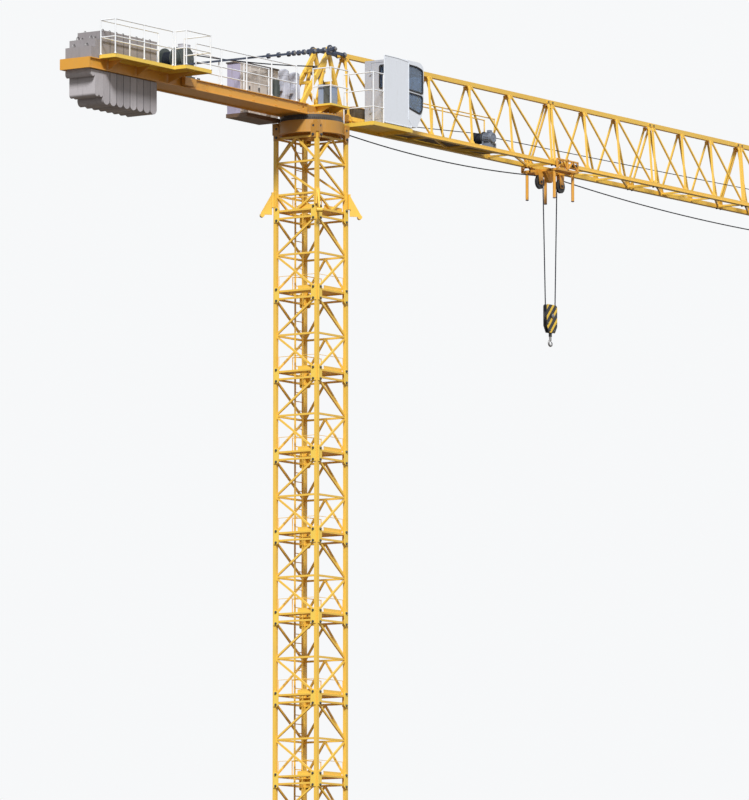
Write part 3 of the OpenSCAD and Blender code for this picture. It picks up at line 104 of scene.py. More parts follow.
class Paint:
    # a material being built: add() makes any node, the rest are short names for common ones
    def __init__(self, name, **constant):
        self.material = bpy.data.materials.new(name)
        self.material.use_nodes = True
        self.tree = self.material.node_tree
        self.shader = self.tree.nodes["Principled BSDF"]
        for socket, value in constant.items():
            self.shader.inputs[socket.replace("_", " ")].default_value = value

    def add(self, kind, settings, sockets, output=0):
        node = self.tree.nodes.new(kind)
        for name, value in settings.items():
            if name == "stops":
                ramp = node.color_ramp
                while len(ramp.elements) < len(value):
                    ramp.elements.new(0.5)
                for element, (at, colour) in zip(ramp.elements, value):
                    element.position, element.color = at, (*colour, 1)
            else:
                setattr(node, name, value)
        for key, value in sockets.items():
            if isinstance(value, Wire):
                self.tree.links.new(value.socket, node.inputs[key])
            else:
                node.inputs[key].default_value = value
        return Wire(self, node.outputs[output])

    def place(self, stretch=(1, 1, 1), turn=(0, 0, 0), shift=(0, 0, 0)):
        coords = self.add("ShaderNodeTexCoord", {}, {}, "Object")
        return self.add("ShaderNodeMapping", {}, {"Vector": coords, "Location": shift,
                                                  "Rotation": turn, "Scale": stretch})

    def axes(self, vector=None):
        coords = vector or self.add("ShaderNodeTexCoord", {}, {}, "Object")
        return [self.add("ShaderNodeSeparateXYZ", {}, {0: coords}, i) for i in range(3)]

    def cloud(self, scale, detail=3.0, rough=0.55, where=None, output="Fac"):
        where = where or self.place()
        return self.add("ShaderNodeTexNoise", {}, {"Vector": where, "Scale": scale, "Detail": detail,
                                                   "Roughness": rough}, output)

    def cells(self, scale, where=None, feature="F1", output="Distance"):
        where = where or self.place()
        return self.add("ShaderNodeTexVoronoi", dict(feature=feature),
                        {"Vector": where, "Scale": scale}, output)

    def band(self, value, low, high):
        # 0 below low, 1 above high, smooth between
        return self.add("ShaderNodeMapRange", dict(interpolation_type="SMOOTHSTEP"),
                        {"Value": value, "From Min": low, "From Max": high})

    def blend(self, share, first, second):
        first, second = [(*c, 1) if isinstance(c, tuple) else c for c in (first, second)]
        return self.add("ShaderNodeMix", dict(data_type="RGBA"), {0: share, 6: first, 7: second}, 2)

    def bump(self, height, depth, strength=1.0, under=None):
        sockets = {"Height": height, "Distance": depth, "Strength": strength}
        if under:
            sockets["Normal"] = under
        return self.add("ShaderNodeBump", {}, sockets, "Normal")

    def streaks(self, scale=9, detail=4, rough=0.6, across=4, upright=0.45, low=0.5, high=0.78):
        # marks that run down a side: a noise drawn out along z
        drawn = self.place(stretch=(across, across, upright))
        return self.band(self.cloud(scale, detail, rough, drawn), low, high)

    def grain(self, depth=0.0005, strength=0.4):
        return self.bump(self.cloud(240, 2), depth, strength)

    def finish(self, **links):
        for name, value in links.items():
            socket = self.shader.inputs[name.replace("_", " ")]
            if isinstance(value, Wire):
                self.tree.links.new(value.socket, socket)
            else:
                socket.default_value = value
        return self.material


# floor, backdrop and light
studio = dict(floor=(0.80, 0.80, 0.79), floorAsLight=(0.115, 0.098, 0.080), sky=(0.93, 0.94, 0.95),
              skyStrength=0.44, sunStrength=3.9, sunFrom=(-0.58, -0.44, 0.68), sunSize=11.0)


def seenDirectly(tree, others=("Is Glossy Ray", "Is Transmission Ray")):
    # 1 for rays from the camera and for the other rays named, 0 for rays that carry light
    rays = tree.nodes.new("ShaderNodeLightPath")
    last = rays.outputs["Is Camera Ray"]
    for other in others:
        node = tree.nodes.new("ShaderNodeMath")
        node.operation = "MAXIMUM"
        tree.links.new(last, node.inputs[0])
        tree.links.new(rays.outputs[other], node.inputs[1])
        last = node.outputs[0]
    return last


def buildStudio():
    world = bpy.data.worlds.new("studio")
    world.use_nodes = True
    tree = world.node_tree
    light, shown = tree.nodes["Background"], tree.nodes.new("ShaderNodeBackground")
    for node, strength in ((light, studio["skyStrength"]), (shown, 1.0)):
        node.inputs["Color"].default_value = (*studio["sky"], 1)
        node.inputs["Strength"].default_value = strength
    mix = tree.nodes.new("ShaderNodeMixShader")
    tree.links.new(seenDirectly(tree), mix.inputs[0])
    tree.links.new(light.outputs[0], mix.inputs[1])
    tree.links.new(shown.outputs[0], mix.inputs[2])
    tree.links.new(mix.outputs[0], tree.nodes["World Output"].inputs["Surface"])
    bpy.context.scene.world = world

    sun = bpy.data.lights.new("sun", "SUN")
    sun.energy = studio["sunStrength"]
    sun.angle = np.radians(studio["sunSize"])
    sunObject = bpy.data.objects.new("sun", sun)
    sunObject.rotation_mode = "QUATERNION"
    sunObject.rotation_quaternion = Vector(studio["sunFrom"]).to_track_quat("Z", "Y")
    bpy.context.collection.objects.link(sunObject)

    ground = Paint("floor", Roughness=0.9)
    direct = Wire(ground, seenDirectly(ground.tree, ("Is Transmission Ray",)))
    pale = ground.blend(ground.cloud(0.6), studio["floor"], tuple(c * 0.97 for c in studio["floor"]))
    ground.finish(Base_Color=ground.blend(direct, studio["floorAsLight"], pale))
    radius = np.array([0.0, 60.0, 400.0])[:, None]
    turn = np.linspace(0, -tau, 65)[None, :-1]
    shape = gridShape(radius * np.cos(turn), radius * np.sin(turn), -0.004, wrapV=True)
    meshFrom("floor", shape, ground.material)


# shapes from arrays: each is a pair of points (n by 3) and lists of three- or four-cornered faces
def pointsOf(x, y, z):
    # a point for each value; a single number repeats
    return np.stack(np.broadcast_arrays(x, y, z), -1).astype(float)


def fullTurn(count):
    # angles spread evenly round a circle
    return np.linspace(0, tau, count + 1)[:-1]


def gridFaces(rows, columns, wrapU=False, wrapV=False):
    # the corners of every cell, anticlockwise seen from outside when u rises and v turns left
    u = np.arange(rows if wrapU else rows - 1)[:, None]
    v = np.arange(columns if wrapV else columns - 1)[None, :]
    nextU, nextV = (u + 1) % rows, (v + 1) % columns
    corners = [u * columns + v, u * columns + nextV, nextU * columns + nextV, nextU * columns + v]
    return np.stack([c + 0 * (u + v) for c in corners], -1).reshape(-1, 4)


def weld(points, quads):
    # corners at one place become one; a four-cornered face that loses a corner becomes a triangle
    _, first, number = np.unique(np.round(points, 7), axis=0, return_index=True, return_inverse=True)
    quads = number.ravel()[quads]
    same = quads == np.roll(quads, -1, axis=1)
    lost = same.sum(1)
    order = (same[lost == 1].argmax(1)[:, None] + 1 + np.arange(3)) % 4
    return points[first], [quads[lost == 0], np.take_along_axis(quads[lost == 1], order, 1)]


def gridShape(x, y, z, wrapU=False, wrapV=False):
    # the point at row u and column v is (x[u, v], y[u, v], z[u, v])
    grid = pointsOf(x, y, z)
    return weld(grid.reshape(-1, 3), gridFaces(*grid.shape[:2], wrapU, wrapV))


def turned(profile, sides=24):
    # a profile of (r, z) from the lower pole upwards: x = r cos v, y = r sin v
    r, z = np.asarray(profile, float).T[:, :, None]
    v = fullTurn(sides)[None]
    return gridShape(r * np.cos(v), r * np.sin(v), z, wrapV=True)


def plate(outline, depth, bevel=0.002):
    # an outline (k by 2, anticlockwise) raised from z = 0 to depth; both faces step in by the
    # bevel along the lines to the middle, where they close
    outline = np.asarray(outline, float)
    middle = outline.mean(0)
    spread = outline - middle
    inset = 1 - bevel / np.linalg.norm(spread, axis=1)
    share = np.array([inset * 0, inset, inset * 0 + 1, inset * 0 + 1, inset, inset * 0])
    height = np.array([0, 0, bevel, depth - bevel, depth, depth])[:, None]
    return gridShape(middle[0] + share * spread[:, 0], middle[1] + share * spread[:, 1], height, wrapV=True)


def rounded(corners, radius, steps=5):
    # each corner becomes (1 - t)^2 a + 2 t (1 - t) corner + t^2 b, where a and b lie at the radius from it
    corners = np.asarray(corners, float)
    toLast, toNext = np.roll(corners, 1, 0) - corners, np.roll(corners, -1, 0) - corners
    a, b = [corners + d / np.linalg.norm(d, axis=1)[:, None] * radius for d in (toLast, toNext)]
    t = np.linspace(0, 1, steps)[None, :, None]
    curve = (1 - t) ** 2 * a[:, None] + 2 * t * (1 - t) * corners[:, None] + t ** 2 * b[:, None]
    return curve.reshape(-1, 2)


def oblong(width, height):
    return np.array([[-1, -1], [1, -1], [1, 1], [-1, 1]]) * [width / 2, height / 2]


def block(width, height, depth, radius=0.006, bevel=0.002):
    return plate(rounded(oblong(width, height), radius, 4), depth, bevel)


def ringOf(radius, sides):
    v = fullTurn(sides)
    return np.stack([radius * np.cos(v), radius * np.sin(v)], -1)


def alongPath(path, profile, turns=None, guide=(0.0, 1.0, 0.0), loop=False):
    # a closed profile (k by 2) carried along a path (n by 3): each point is the path's point
    # plus profile x times the side direction plus profile y times the upper direction,
    # the profile being turned by turns (n angles) on the way
    path = np.asarray(path, float)
    forward = np.roll(path, -1, 0) - np.roll(path, 1, 0) if loop else np.gradient(path, axis=0)
    forward /= np.linalg.norm(forward, axis=1)[:, None]
    side = np.tile(np.asarray(guide, float), (len(path), 1))
    side -= (side * forward).sum(1)[:, None] * forward
    side /= np.linalg.norm(side, axis=1)[:, None]
    upper = np.cross(forward, side)
    c, s = [f(np.zeros(len(path)) if turns is None else turns)[:, None] for f in (np.cos, np.sin)]
    px = profile[None, :, 0] * c - profile[None, :, 1] * s
    py = profile[None, :, 0] * s + profile[None, :, 1] * c
    return path[:, None] + px[..., None] * side[:, None] + py[..., None] * upper[:, None]


def swept(path, profile, turns=None, guide=(0.0, 1.0, 0.0), loop=False):
    # the profile along the path, closed at both ends by a fan of triangles, or on itself in a loop
    rings = alongPath(path, profile, turns, guide, loop)
    if not loop:
        poles = np.asarray(path, float)[[0, -1], None] + 0 * rings[:1]
        rings = np.concatenate([poles[:1], rings, poles[1:]])
    return gridShape(*np.moveaxis(rings, -1, 0), wrapU=loop, wrapV=True)


def placed(shape, origins, axis=(0.0, 0.0, 1.0), guide=None, stretch=1.0):
    # copies of a shape: its z follows axis, its x leans towards guide, its y is their cross product
    points, faces = shape
    origins = np.atleast_2d(np.asarray(origins, float))
    z = np.broadcast_to(np.asarray(axis, float), origins.shape)
    z = z / np.linalg.norm(z, axis=1)[:, None]
    if guide is None:
        guide = np.where(np.abs(z[:, 2:]) > 0.9, [[1.0, 0.0, 0.0]], [[0.0, 0.0, 1.0]])
    x = guide - (guide * z).sum(1)[:, None] * z
    x /= np.linalg.norm(x, axis=1)[:, None]
    y = np.cross(z, x)
    tall = z * np.broadcast_to(stretch, len(z))[:, None]
    copies = (origins[:, None] + points[:, 0, None] * x[:, None] + points[:, 1, None] * y[:, None]
              + points[:, 2, None] * tall[:, None])
    shift = (np.arange(len(origins)) * len(points))[:, None, None]
    return copies.reshape(-1, 3), [(f[None] + shift).reshape(-1, f.shape[1]) for f in faces]


def rods(starts, ends, radius, sides=8):
    # straight round bars, one from each start to its end
    starts, ends = np.atleast_2d(starts).astype(float), np.atleast_2d(ends).astype(float)
    length = np.linalg.norm(ends - starts, axis=1)
    bar = turned([(0, 0), (radius, 0), (radius, 1), (0, 1)], sides)
    return placed(bar, starts, ends - starts, stretch=length)


def bars(starts, ends, wide, thick):
    # straight rectangular bars, thick across the jib and wide in the upright plane along it
    starts, ends = np.atleast_2d(starts).astype(float), np.atleast_2d(ends).astype(float)
    length = np.linalg.norm(ends - starts, axis=1)
    return placed(block(thick, wide, 1.0, 0.004, 0.001), starts, ends - starts, np.array([0, 1.0, 0]), length)


def uprightPlate(outline, middle, y, thick):
    # an outline of (x, z), anticlockwise, as a plate across the y axis
    seat = [middle, y + thick / 2, 0]
    return placed(plate(outline, thick, 0.001), seat, (0, -1, 0), np.array([1.0, 0, 0]))


def flatLoop(outline, y, profile, radius, steps=6):
    # an outline in the upright plane along the jib, as a closed strip at the given y
    ring = rounded(outline, radius, steps)
    return swept(pointsOf(ring[:, 0], y, ring[:, 1]), profile, loop=True)


def joined(*shapes):
    shifts = np.cumsum([0] + [len(points) for points, _ in shapes[:-1]])
    faces = [f + shift for (_, lists), shift in zip(shapes, shifts) for f in lists]
    return np.concatenate([points for points, _ in shapes]), faces


def meshFrom(name, shape, material):
    points, faces = shape
    faces = [f for f in faces if len(f)]
    mesh = bpy.data.meshes.new(name)
    mesh.vertices.add(len(points))
    mesh.vertices.foreach_set("co", np.asarray(points, np.float32).ravel())
    corners = np.concatenate([f.ravel() for f in faces]).astype(np.int32)
    sizes = np.concatenate([np.full(len(f), f.shape[1]) for f in faces])
    mesh.loops.add(len(corners))
    mesh.loops.foreach_set("vertex_index", corners)
    mesh.polygons.add(len(sizes))
    mesh.polygons.foreach_set("loop_start", np.concatenate([[0], np.cumsum(sizes)[:-1]]).astype(np.int32))
    mesh.polygons.foreach_set("use_smooth", np.ones(len(sizes), bool))
    mesh.update(calc_edges=True)
    mesh.validate()
    mesh.set_sharp_from_angle(angle=np.radians(35))
    mesh.materials.append(material)
    thing = bpy.data.objects.new(name, mesh)
    bpy.context.collection.objects.link(thing)
    return thing


def addPiece(name, shape, material, body="upper_works"):
    thing = meshFrom(name, shape, material)
    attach(thing, body)
    return thing


# finishes
yellows = dict(lemon=((0.94, 0.66, 0.10), (0.84, 0.53, 0.07)),
               crane=((0.92, 0.60, 0.085), (0.76, 0.42, 0.05)),
               beam=((0.80, 0.39, 0.045), (0.58, 0.26, 0.03)),
               # drum: a darker, browner copy of the yellow; painted shade, the platform's shadow on the
               # turntable and the drum
               drum=((0.58, 0.29, 0.05), (0.40, 0.19, 0.035)),
               # bracket: a browner yellow, painted shade for the brackets under the platforms
               shadedBracket=(0.62, 0.29, 0.04), dust=(0.45, 0.33, 0.20), rust=(0.13, 0.06, 0.03))


def craneYellow(name, tone, shadedBelow=0.0):
    # below the given level the paint turns browner: painted shade on the brackets under the platforms
    colour, deep = yellows[tone]
    p = Paint(name, Coat_Weight=0.12, Coat_Roughness=0.25)
    broad, fine = p.cloud(0.9, 4), p.cloud(14, 5)
    runs = p.streaks(7, across=5, upright=0.5, low=0.52, high=0.75)
    chips = p.band(p.cloud(85, 2, 0.5), 0.73, 0.76) * p.band(p.cloud(3.5, 2), 0.5, 0.7)
    base = p.blend(broad * 0.6 + fine * 0.15, colour, deep)
    # painted shade: browner below the level
    base = p.blend(p.axes()[2] < shadedBelow, base, yellows["shadedBracket"])
    base = p.blend(runs * 0.22, base, yellows["dust"])
    base = p.blend(chips * 0.8, base, yellows["rust"])
    height = p.cloud(260, 2, 0.5) * 0.4 - chips
    return p.finish(Base_Color=base, Roughness=0.36 + fine * 0.16 + runs * 0.12 + chips * 0.2,
                    Normal=p.bump(height, 0.0006, 0.5))


def plainPaint(name, colour, dirt, dirtShare=0.35, roughness=0.42, coat=0.1):
    p = Paint(name, Coat_Weight=coat, Coat_Roughness=0.2)
    broad, fine = p.cloud(1.6, 4), p.cloud(22, 5)
    runs = p.streaks()
    base = p.blend(broad * 0.3 + fine * 0.15, colour, tuple(0.8 * c + 0.2 * d for c, d in zip(colour, dirt)))
    base = p.blend(runs * dirtShare, base, dirt)
    return p.finish(Base_Color=base, Roughness=roughness + fine * 0.16 + runs * 0.1,
                    Normal=p.grain())


# end: painted bluish shade on the end face; board: painted shade on the board's underside
cabinet = dict(front=(0.66, 0.62, 0.58), end=(0.44, 0.41, 0.56), roof=(0.055, 0.045, 0.045),
               board=(0.14, 0.08, 0.045), endX=-1.318, roofZ=0.686, boardZ=-0.0975)


def cabinetPaint():
    # pale front; a lilac end face, painted bluish shade on that side; dark roof; and the board under it
    # brown, painted shade on its underside; told apart by their places
    p = Paint("cabinet paint", Coat_Weight=0.05)
    x, y, z = p.axes()
    runs = p.streaks()
    fine = p.cloud(22, 5)
    # painted shade: the end face tinted lilac
    base = p.blend(x < cabinet["endX"], cabinet["front"], cabinet["end"])
    base = p.blend(z > jibZ + cabinet["roofZ"], base, cabinet["roof"])
    # painted shade: the board under the cabinet brown
    base = p.blend(z < jibZ + cabinet["boardZ"], base, cabinet["board"])
    base = p.blend(runs * 0.4 + fine * 0.1, base, (0.22, 0.18, 0.15))
    return p.finish(Base_Color=base, Roughness=0.45 + fine * 0.16, Normal=p.grain())


control = dict(end=(0.30, 0.38, 0.54), front=(0.085, 0.095, 0.090), frontY=-0.3490)


def controlPaint():
    # bluish end plate and a dark near face
    p = Paint("control cabinet paint", Coat_Weight=0.05)
    y = p.axes()[1]
    fine = p.cloud(22, 5)
    base = p.blend(y < control["frontY"], control["end"], control["front"])
    base = p.blend(fine * 0.3, base, (0.14, 0.13, 0.13))
    return p.finish(Base_Color=base, Roughness=0.42 + fine * 0.16, Normal=p.grain())


cabTone = dict(side=(0.79, 0.83, 0.90), rear=(0.46, 0.48, 0.54), rearX=1.062, farY=-0.70)


def cabPaint():
    # white with a blue cast, greyer on the rear wall and its door
    p = Paint("cab paint", Coat_Weight=0.3, Coat_Roughness=0.2)
    x, y = p.axes()[:2]
    runs = p.streaks()
    fine = p.cloud(22, 5)
    rear = (x < cabTone["rearX"]) * (y > cabTone["farY"])
    base = p.blend(rear, cabTone["side"], cabTone["rear"])
    base = p.blend(runs * 0.14 + fine * 0.06, base, (0.50, 0.49, 0.48))
    return p.finish(Base_Color=base, Roughness=0.30 + fine * 0.12, Normal=p.grain(0.0004, 0.3))


rootBox = dict(lidZ=0.1915, body=(0.075, 0.055, 0.035), lid=(0.55, 0.30, 0.08))


def rootBoxPaint():
    # dark case, painted shade standing for the shade on its near face and inside, with an orange lid
    p = Paint("root box paint with painted shade", Coat_Weight=0.05)
    fine = p.cloud(18, 5)
    # painted shade: the whole case dark below the lid
    base = p.blend(p.axes()[2] > jibZ + rootBox["lidZ"], rootBox["body"], rootBox["lid"])
    base = p.blend(fine * 0.35, base, (0.10, 0.085, 0.06))
    return p.finish(Base_Color=base, Roughness=0.5 + fine * 0.16, Normal=p.grain())


slabs = dict(firstFull=-5.69, full=0.168, count=8, eyeY=0.165, fullTop=0.54, endX=(-5.94, -5.84, -5.74),
             endTops=(0.27, 0.395, 0.395), endEyeY=0.12)


def castConcrete():
    # darker joints between the full slabs, and the feet that hang below the deck painted lighter: painted
    # light that lifts the deck's shadow off them
    p = Paint("cast concrete")
    broad, fine = p.cloud(1.4, 5, 0.6), p.cloud(30, 6, 0.65)
    pits = p.band(p.cells(55), 0.0, 0.16)
    runs = p.streaks(8, 5, 0.65, 2.5, 0.35, 0.48, 0.74)
    slab = p.axes(p.place(shift=(-slabs["firstFull"], 0, 0)))[0] * (1 / slabs["full"])
    shade = p.add("ShaderNodeTexWhiteNoise", dict(noise_dimensions="1D"), {"W": slab - slab.part()}, 0)
    base = p.blend(broad, (0.38, 0.355, 0.365), (0.29, 0.27, 0.28))
    # painted light: lighter below the deck, cancelling the deck's shadow
    base = p.blend(p.axes()[2] < deckZ, base, (0.56, 0.53, 0.55))
    base = p.blend(shade * 0.35, base, (0.20, 0.18, 0.19))
    base = p.blend(fine * 0.35, base, (0.20, 0.18, 0.18))
    base = p.blend(runs * 0.3, base, (0.17, 0.16, 0.17))
    joint = ((slab.part() - 0.5).size() > 0.455) * (slab > 0.1)
    base = p.blend(joint * 0.7, base, (0.05, 0.05, 0.055))
    base = p.blend((1 - pits) * 0.6, base, (0.10, 0.09, 0.09))
    boards = p.axes()[2] * 26
    height = fine * 0.5 + pits * 0.7 + boards.wave() * 0.1
    return p.finish(Base_Color=base, Roughness=0.82 + fine * 0.12, Normal=p.bump(height, 0.003, 0.6))


def dullZinc():
    p = Paint("dull zinc", Metallic=0.35)
    flakes = p.add("ShaderNodeTexVoronoi", {}, {"Vector": p.place(), "Scale": 90.0}, "Color")
    flake = p.axes(flakes)[0]
    broad = p.cloud(5, 4)
    base = p.blend(flake * 0.5 + broad * 0.4, (0.075, 0.095, 0.15), (0.035, 0.045, 0.075))
    return p.finish(Base_Color=base, Roughness=0.40 + flake * 0.12 + broad * 0.15,
                    Normal=p.bump(p.cloud(180, 3), 0.0004, 0.5))


def wornSteel():
    p = Paint("worn steel", Metallic=0.8)
    broad, fine = p.cloud(9, 4), p.cloud(140, 3)
    rust = p.band(p.cloud(16, 5, 0.65), 0.58, 0.74)
    base = p.blend(broad, (0.36, 0.35, 0.34), (0.20, 0.20, 0.21))
    base = p.blend(rust * 0.6, base, (0.16, 0.08, 0.045))
    return p.finish(Base_Color=base, Roughness=0.38 + fine * 0.2 + rust * 0.3,
                    Normal=p.bump(fine, 0.0004, 0.6))


def wireRope():
    p = Paint("greased rope", Specular_IOR_Level=0.25)
    grease, grit = p.cloud(30, 4), p.cloud(400, 2)
    base = p.blend(grease, (0.012, 0.017, 0.030), (0.005, 0.007, 0.012))
    return p.finish(Base_Color=base, Roughness=0.60 + grit * 0.25, Normal=p.bump(grit, 0.0003, 0.6))


def cabGlass():
    p = Paint("cab glass", Transmission_Weight=0.75, IOR=1.45)
    smear = p.cloud(6, 4, 0.6, p.place(stretch=(1, 1, 0.4)))
    return p.finish(Base_Color=p.blend(smear, (0.36, 0.46, 0.60), (0.24, 0.33, 0.46)),
                    Roughness=0.03 + smear * 0.06)


def blackRubber():
    p = Paint("black rubber")
    fine = p.cloud(90, 3)
    return p.finish(Base_Color=p.blend(fine, (0.014, 0.014, 0.016), (0.026, 0.026, 0.028)),
                    Roughness=0.55 + fine * 0.2, Normal=p.bump(fine, 0.0004, 0.5))


blockStripe = dict(faceY=0.0352, width=0.088, slope=-1.15, yellow=(0.90, 0.58, 0.05),
                   black=(0.022, 0.022, 0.024))


def stripedBlock():
    # slanting stripes on the outer faces, further from the middle plane than faceY
    p = Paint("striped block paint", Coat_Weight=0.1)
    x, y, z = p.axes(p.place(shift=(-trolleyX, 0, 0)))
    band = ((x * blockStripe["slope"] + z) / blockStripe["width"] * 0.5).part()
    wear, fine = p.cloud(26, 4), p.cloud(120, 3)
    stripe = p.band(band + (wear - 0.5) * 0.03, 0.595, 0.605) * (y.size() > blockStripe["faceY"])
    base = p.blend(stripe, blockStripe["black"], blockStripe["yellow"])
    base = p.blend(p.band(wear, 0.6, 0.7) * 0.5, base, (0.10, 0.085, 0.07))
    return p.finish(Base_Color=base, Roughness=0.42 + fine * 0.2, Normal=p.bump(fine, 0.0005, 0.5))


def treadPlate(name, colour, dirt):
    # raised lozenges in two directions, on the plates people walk on
    p = Paint(name)
    x, y = p.axes()[:2]
    left, right = ((x + y) * 28).part() - 0.5, ((x - y) * 28).part() - 0.5
    lozenge = (1 - p.band(left.size(), 0.08, 0.16)) * p.band(right.size(), 0.15, 0.25)
    other = (1 - p.band(right.size(), 0.08, 0.16)) * p.band(left.size(), 0.15, 0.25)
    mud = p.cloud(4, 5, 0.6)
    base = p.blend(p.band(mud, 0.45, 0.75) * 0.5, colour, dirt)
    return p.finish(Base_Color=base, Roughness=0.5 + mud * 0.2,
                    Normal=p.bump(lozenge + other, 0.0015, 0.7))


finish = dict(
    yellow=craneYellow("crane yellow", "crane"),
    lemon=craneYellow("lemon yellow", "lemon"),
    # browner below the beams' top: painted shade on the platforms' brackets
    platform=craneYellow("platform yellow shaded below", "lemon", beamTop - 0.012),
    orange=craneYellow("beam yellow", "beam"),
    white=plainPaint("white rail paint", (0.84, 0.86, 0.89), (0.60, 0.59, 0.57), 0.25),
    cab=cabPaint(),
    motor=plainPaint("motor housing", (0.50, 0.51, 0.58), (0.30, 0.29, 0.30), 0.35),
    cabinet=cabinetPaint(),
    # painted shade: the darker drum yellow on the slewing drum and the turntable under the platform
    control=controlPaint(), box=rootBoxPaint(), shadedBrown=craneYellow("drum yellow in painted shade", "drum"),
    winch=plainPaint("winch green grey", (0.055, 0.070, 0.068), (0.12, 0.11, 0.09), 0.4, 0.4),
    dark=plainPaint("dark grey paint", (0.040, 0.044, 0.052), (0.10, 0.09, 0.08), 0.4, 0.45),
    bluish=plainPaint("trolley winch grey", (0.17, 0.20, 0.26), (0.10, 0.09, 0.08), 0.4, 0.45),
    ring=plainPaint("greased ring", (0.055, 0.050, 0.048), (0.12, 0.09, 0.06), 0.5, 0.38),
    concrete=castConcrete(), zinc=dullZinc(), steel=wornSteel(), rope=wireRope(), glass=cabGlass(),
    rubber=blackRubber(), stripes=stripedBlock(),
    # painted shade: the catwalk's yellow floor plate given a dark brown, the shade it lies in
    treadInShade=treadPlate("catwalk tread in painted shade", (0.14, 0.090, 0.045), (0.09, 0.070, 0.050)),
    # the counterjib's yellow floor plate darkened to brown orange: the darkening is painted shade on its
    # underside
    treadYellowShaded=treadPlate("yellow tread plate with painted shade", (0.50, 0.26, 0.045), (0.22, 0.13, 0.06)))

nodesOf = dict(
    lemon=["tower_fishplates", "side_platform", "cab_platform"], platform=["counterjib_platforms"],
    orange=["counterjib_beams", "trolley_frame", "trolley_trusses"], shadedBrown=["slewing_drum", "turntable"],
    treadInShade=["jib_catwalk"], treadYellowShaded=["counterjib_floor"], white=["handrails"],
    cab=["cab_shell", "cab_side_panel", "cab_door"], motor=["slewing_motor"], cabinet=["switch_cabinet"],
    control=["control_cabinet"], winch=["winch_frame", "hoist_drum", "brake_motor"],
    bluish=["trolley_winch_frame"],
    dark=["trolley_drum", "trolley_wheels", "trolley_sheave_in", "trolley_sheave_out"],
    ring=["slewing_ring_lower", "slewing_ring_upper"], concrete=["ballast_slabs"],
    zinc=["apex_links", "tie_bars"], glass=["cab_glass"], stripes=["hook_block"],
    steel=["rope_pulley", "root_pulley", "block_sheave", "hook"],
    rope=["hoist_rope_top", "hoist_rope_inner", "hoist_rope_outer", "travel_rope", "rope_falls"])
lookOf = {node: look for look, nodes in nodesOf.items() for node in nodes}
for name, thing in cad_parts.items():
    thing.data.materials.clear()
    thing.data.materials.append(finish[lookOf.get(name, "yellow")])
buildStudio()
print("camera, light and finishes set")


# wire ropes
rope = dict(radius=0.010, thin=0.007, strands=6, lay=0.13, step=0.009, fit=0.0003)
drum = dict(axis=(-3.55, beamTop + 0.304), radius=0.12, pitch=0.024, turns=7.4)
travelDrum = dict(axis=(4.78, jibZ + 0.217), radius=0.08, pitch=0.018, turns=8)
apexWheel, apexR = (0.146, jibZ + 0.685), 0.095
rootWheel, rootR = (0.85, jibZ - 0.108), 0.07
sheaveR, blockR, fallHalf = 0.10, 0.136, 0.205
inWheel = (trolleyX - fallHalf - sheaveR, jibZ - 0.295)
outWheel = (trolleyX + fallHalf + sheaveR, jibZ - 0.295)
blockWheel = (trolleyX, jibZ - 2.27 - 0.185)
tipWheelTop = jibZ + 0.33 + 0.06
rootEye = (0.6203, jibZ + 0.046)  # where the returning travel rope is made fast


def onWheel(wheel, radius, degrees):
    # points on a circle about a wheel's axle, in the middle plane
    a = np.radians(np.atleast_1d(degrees).astype(float))
    radius = radius + rope["fit"]
    return pointsOf(wheel[0] + radius * np.cos(a), 0, wheel[1] + radius * np.sin(a))


def around(wheel, radius, first, last, step=4.0):
    return onWheel(wheel, radius, np.linspace(first, last, int(abs(last - first) / step) + 2))


def hanging(a, b, sag, count=60):
    # straight line from a to b, minus 4 sag t (1 - t) in height: a parabola
    t = np.linspace(0, 1, count)[:, None]
    return a + (b - a) * t - np.array([0, 0, 4 * sag]) * t * (1 - t)


def crossAngle(c0, r0, c1, r1):
    # where a straight run leaves one wheel for the other side of the next
    d = np.array(c1) - np.array(c0)
    return np.degrees(np.arctan2(d[1], d[0]) + np.arccos((r0 + r1 + 2 * rope["fit"]) / np.hypot(*d)))


def wire(path, radius=rope["radius"]):
    # a circle with a rounded lobe for each strand, turning as it advances at an even step
    path = np.asarray(path, float)
    run = np.concatenate([[0], np.cumsum(np.linalg.norm(np.diff(path, axis=0), axis=1))])
    at = np.linspace(0, run[-1], max(2, int(round(run[-1] / rope["step"])) + 1))
    path = np.stack([np.interp(at, run, path[:, i]) for i in range(3)], -1)
    v = fullTurn(rope["strands"] * 3)
    lobes = radius * (0.90 + 0.10 * np.cos(v * rope["strands"]))
    profile = np.stack([lobes * np.cos(v), lobes * np.sin(v)], -1)
    return swept(path, profile, at / rope["lay"] * tau)


def layRope(name, shape, node, body=None, ends=None):
    thing = meshFrom(name, shape, finish["rope"])
    if ends:
        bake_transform(thing)
    else:
        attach(thing, body)
    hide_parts(node)


def wound(winch, start, radius):
    # a helix about the winch's axle: angle from start, sideways by one pitch for every turn
    a = start - np.linspace(0, winch["turns"] * tau, int(winch["turns"] * 60))
    reach = winch["radius"] + rope["fit"]
    x, z = winch["axis"]
    sideways = (start - a) / tau * winch["pitch"]
    return wire(pointsOf(x + reach * np.cos(a), sideways, z + reach * np.sin(a)), radius)


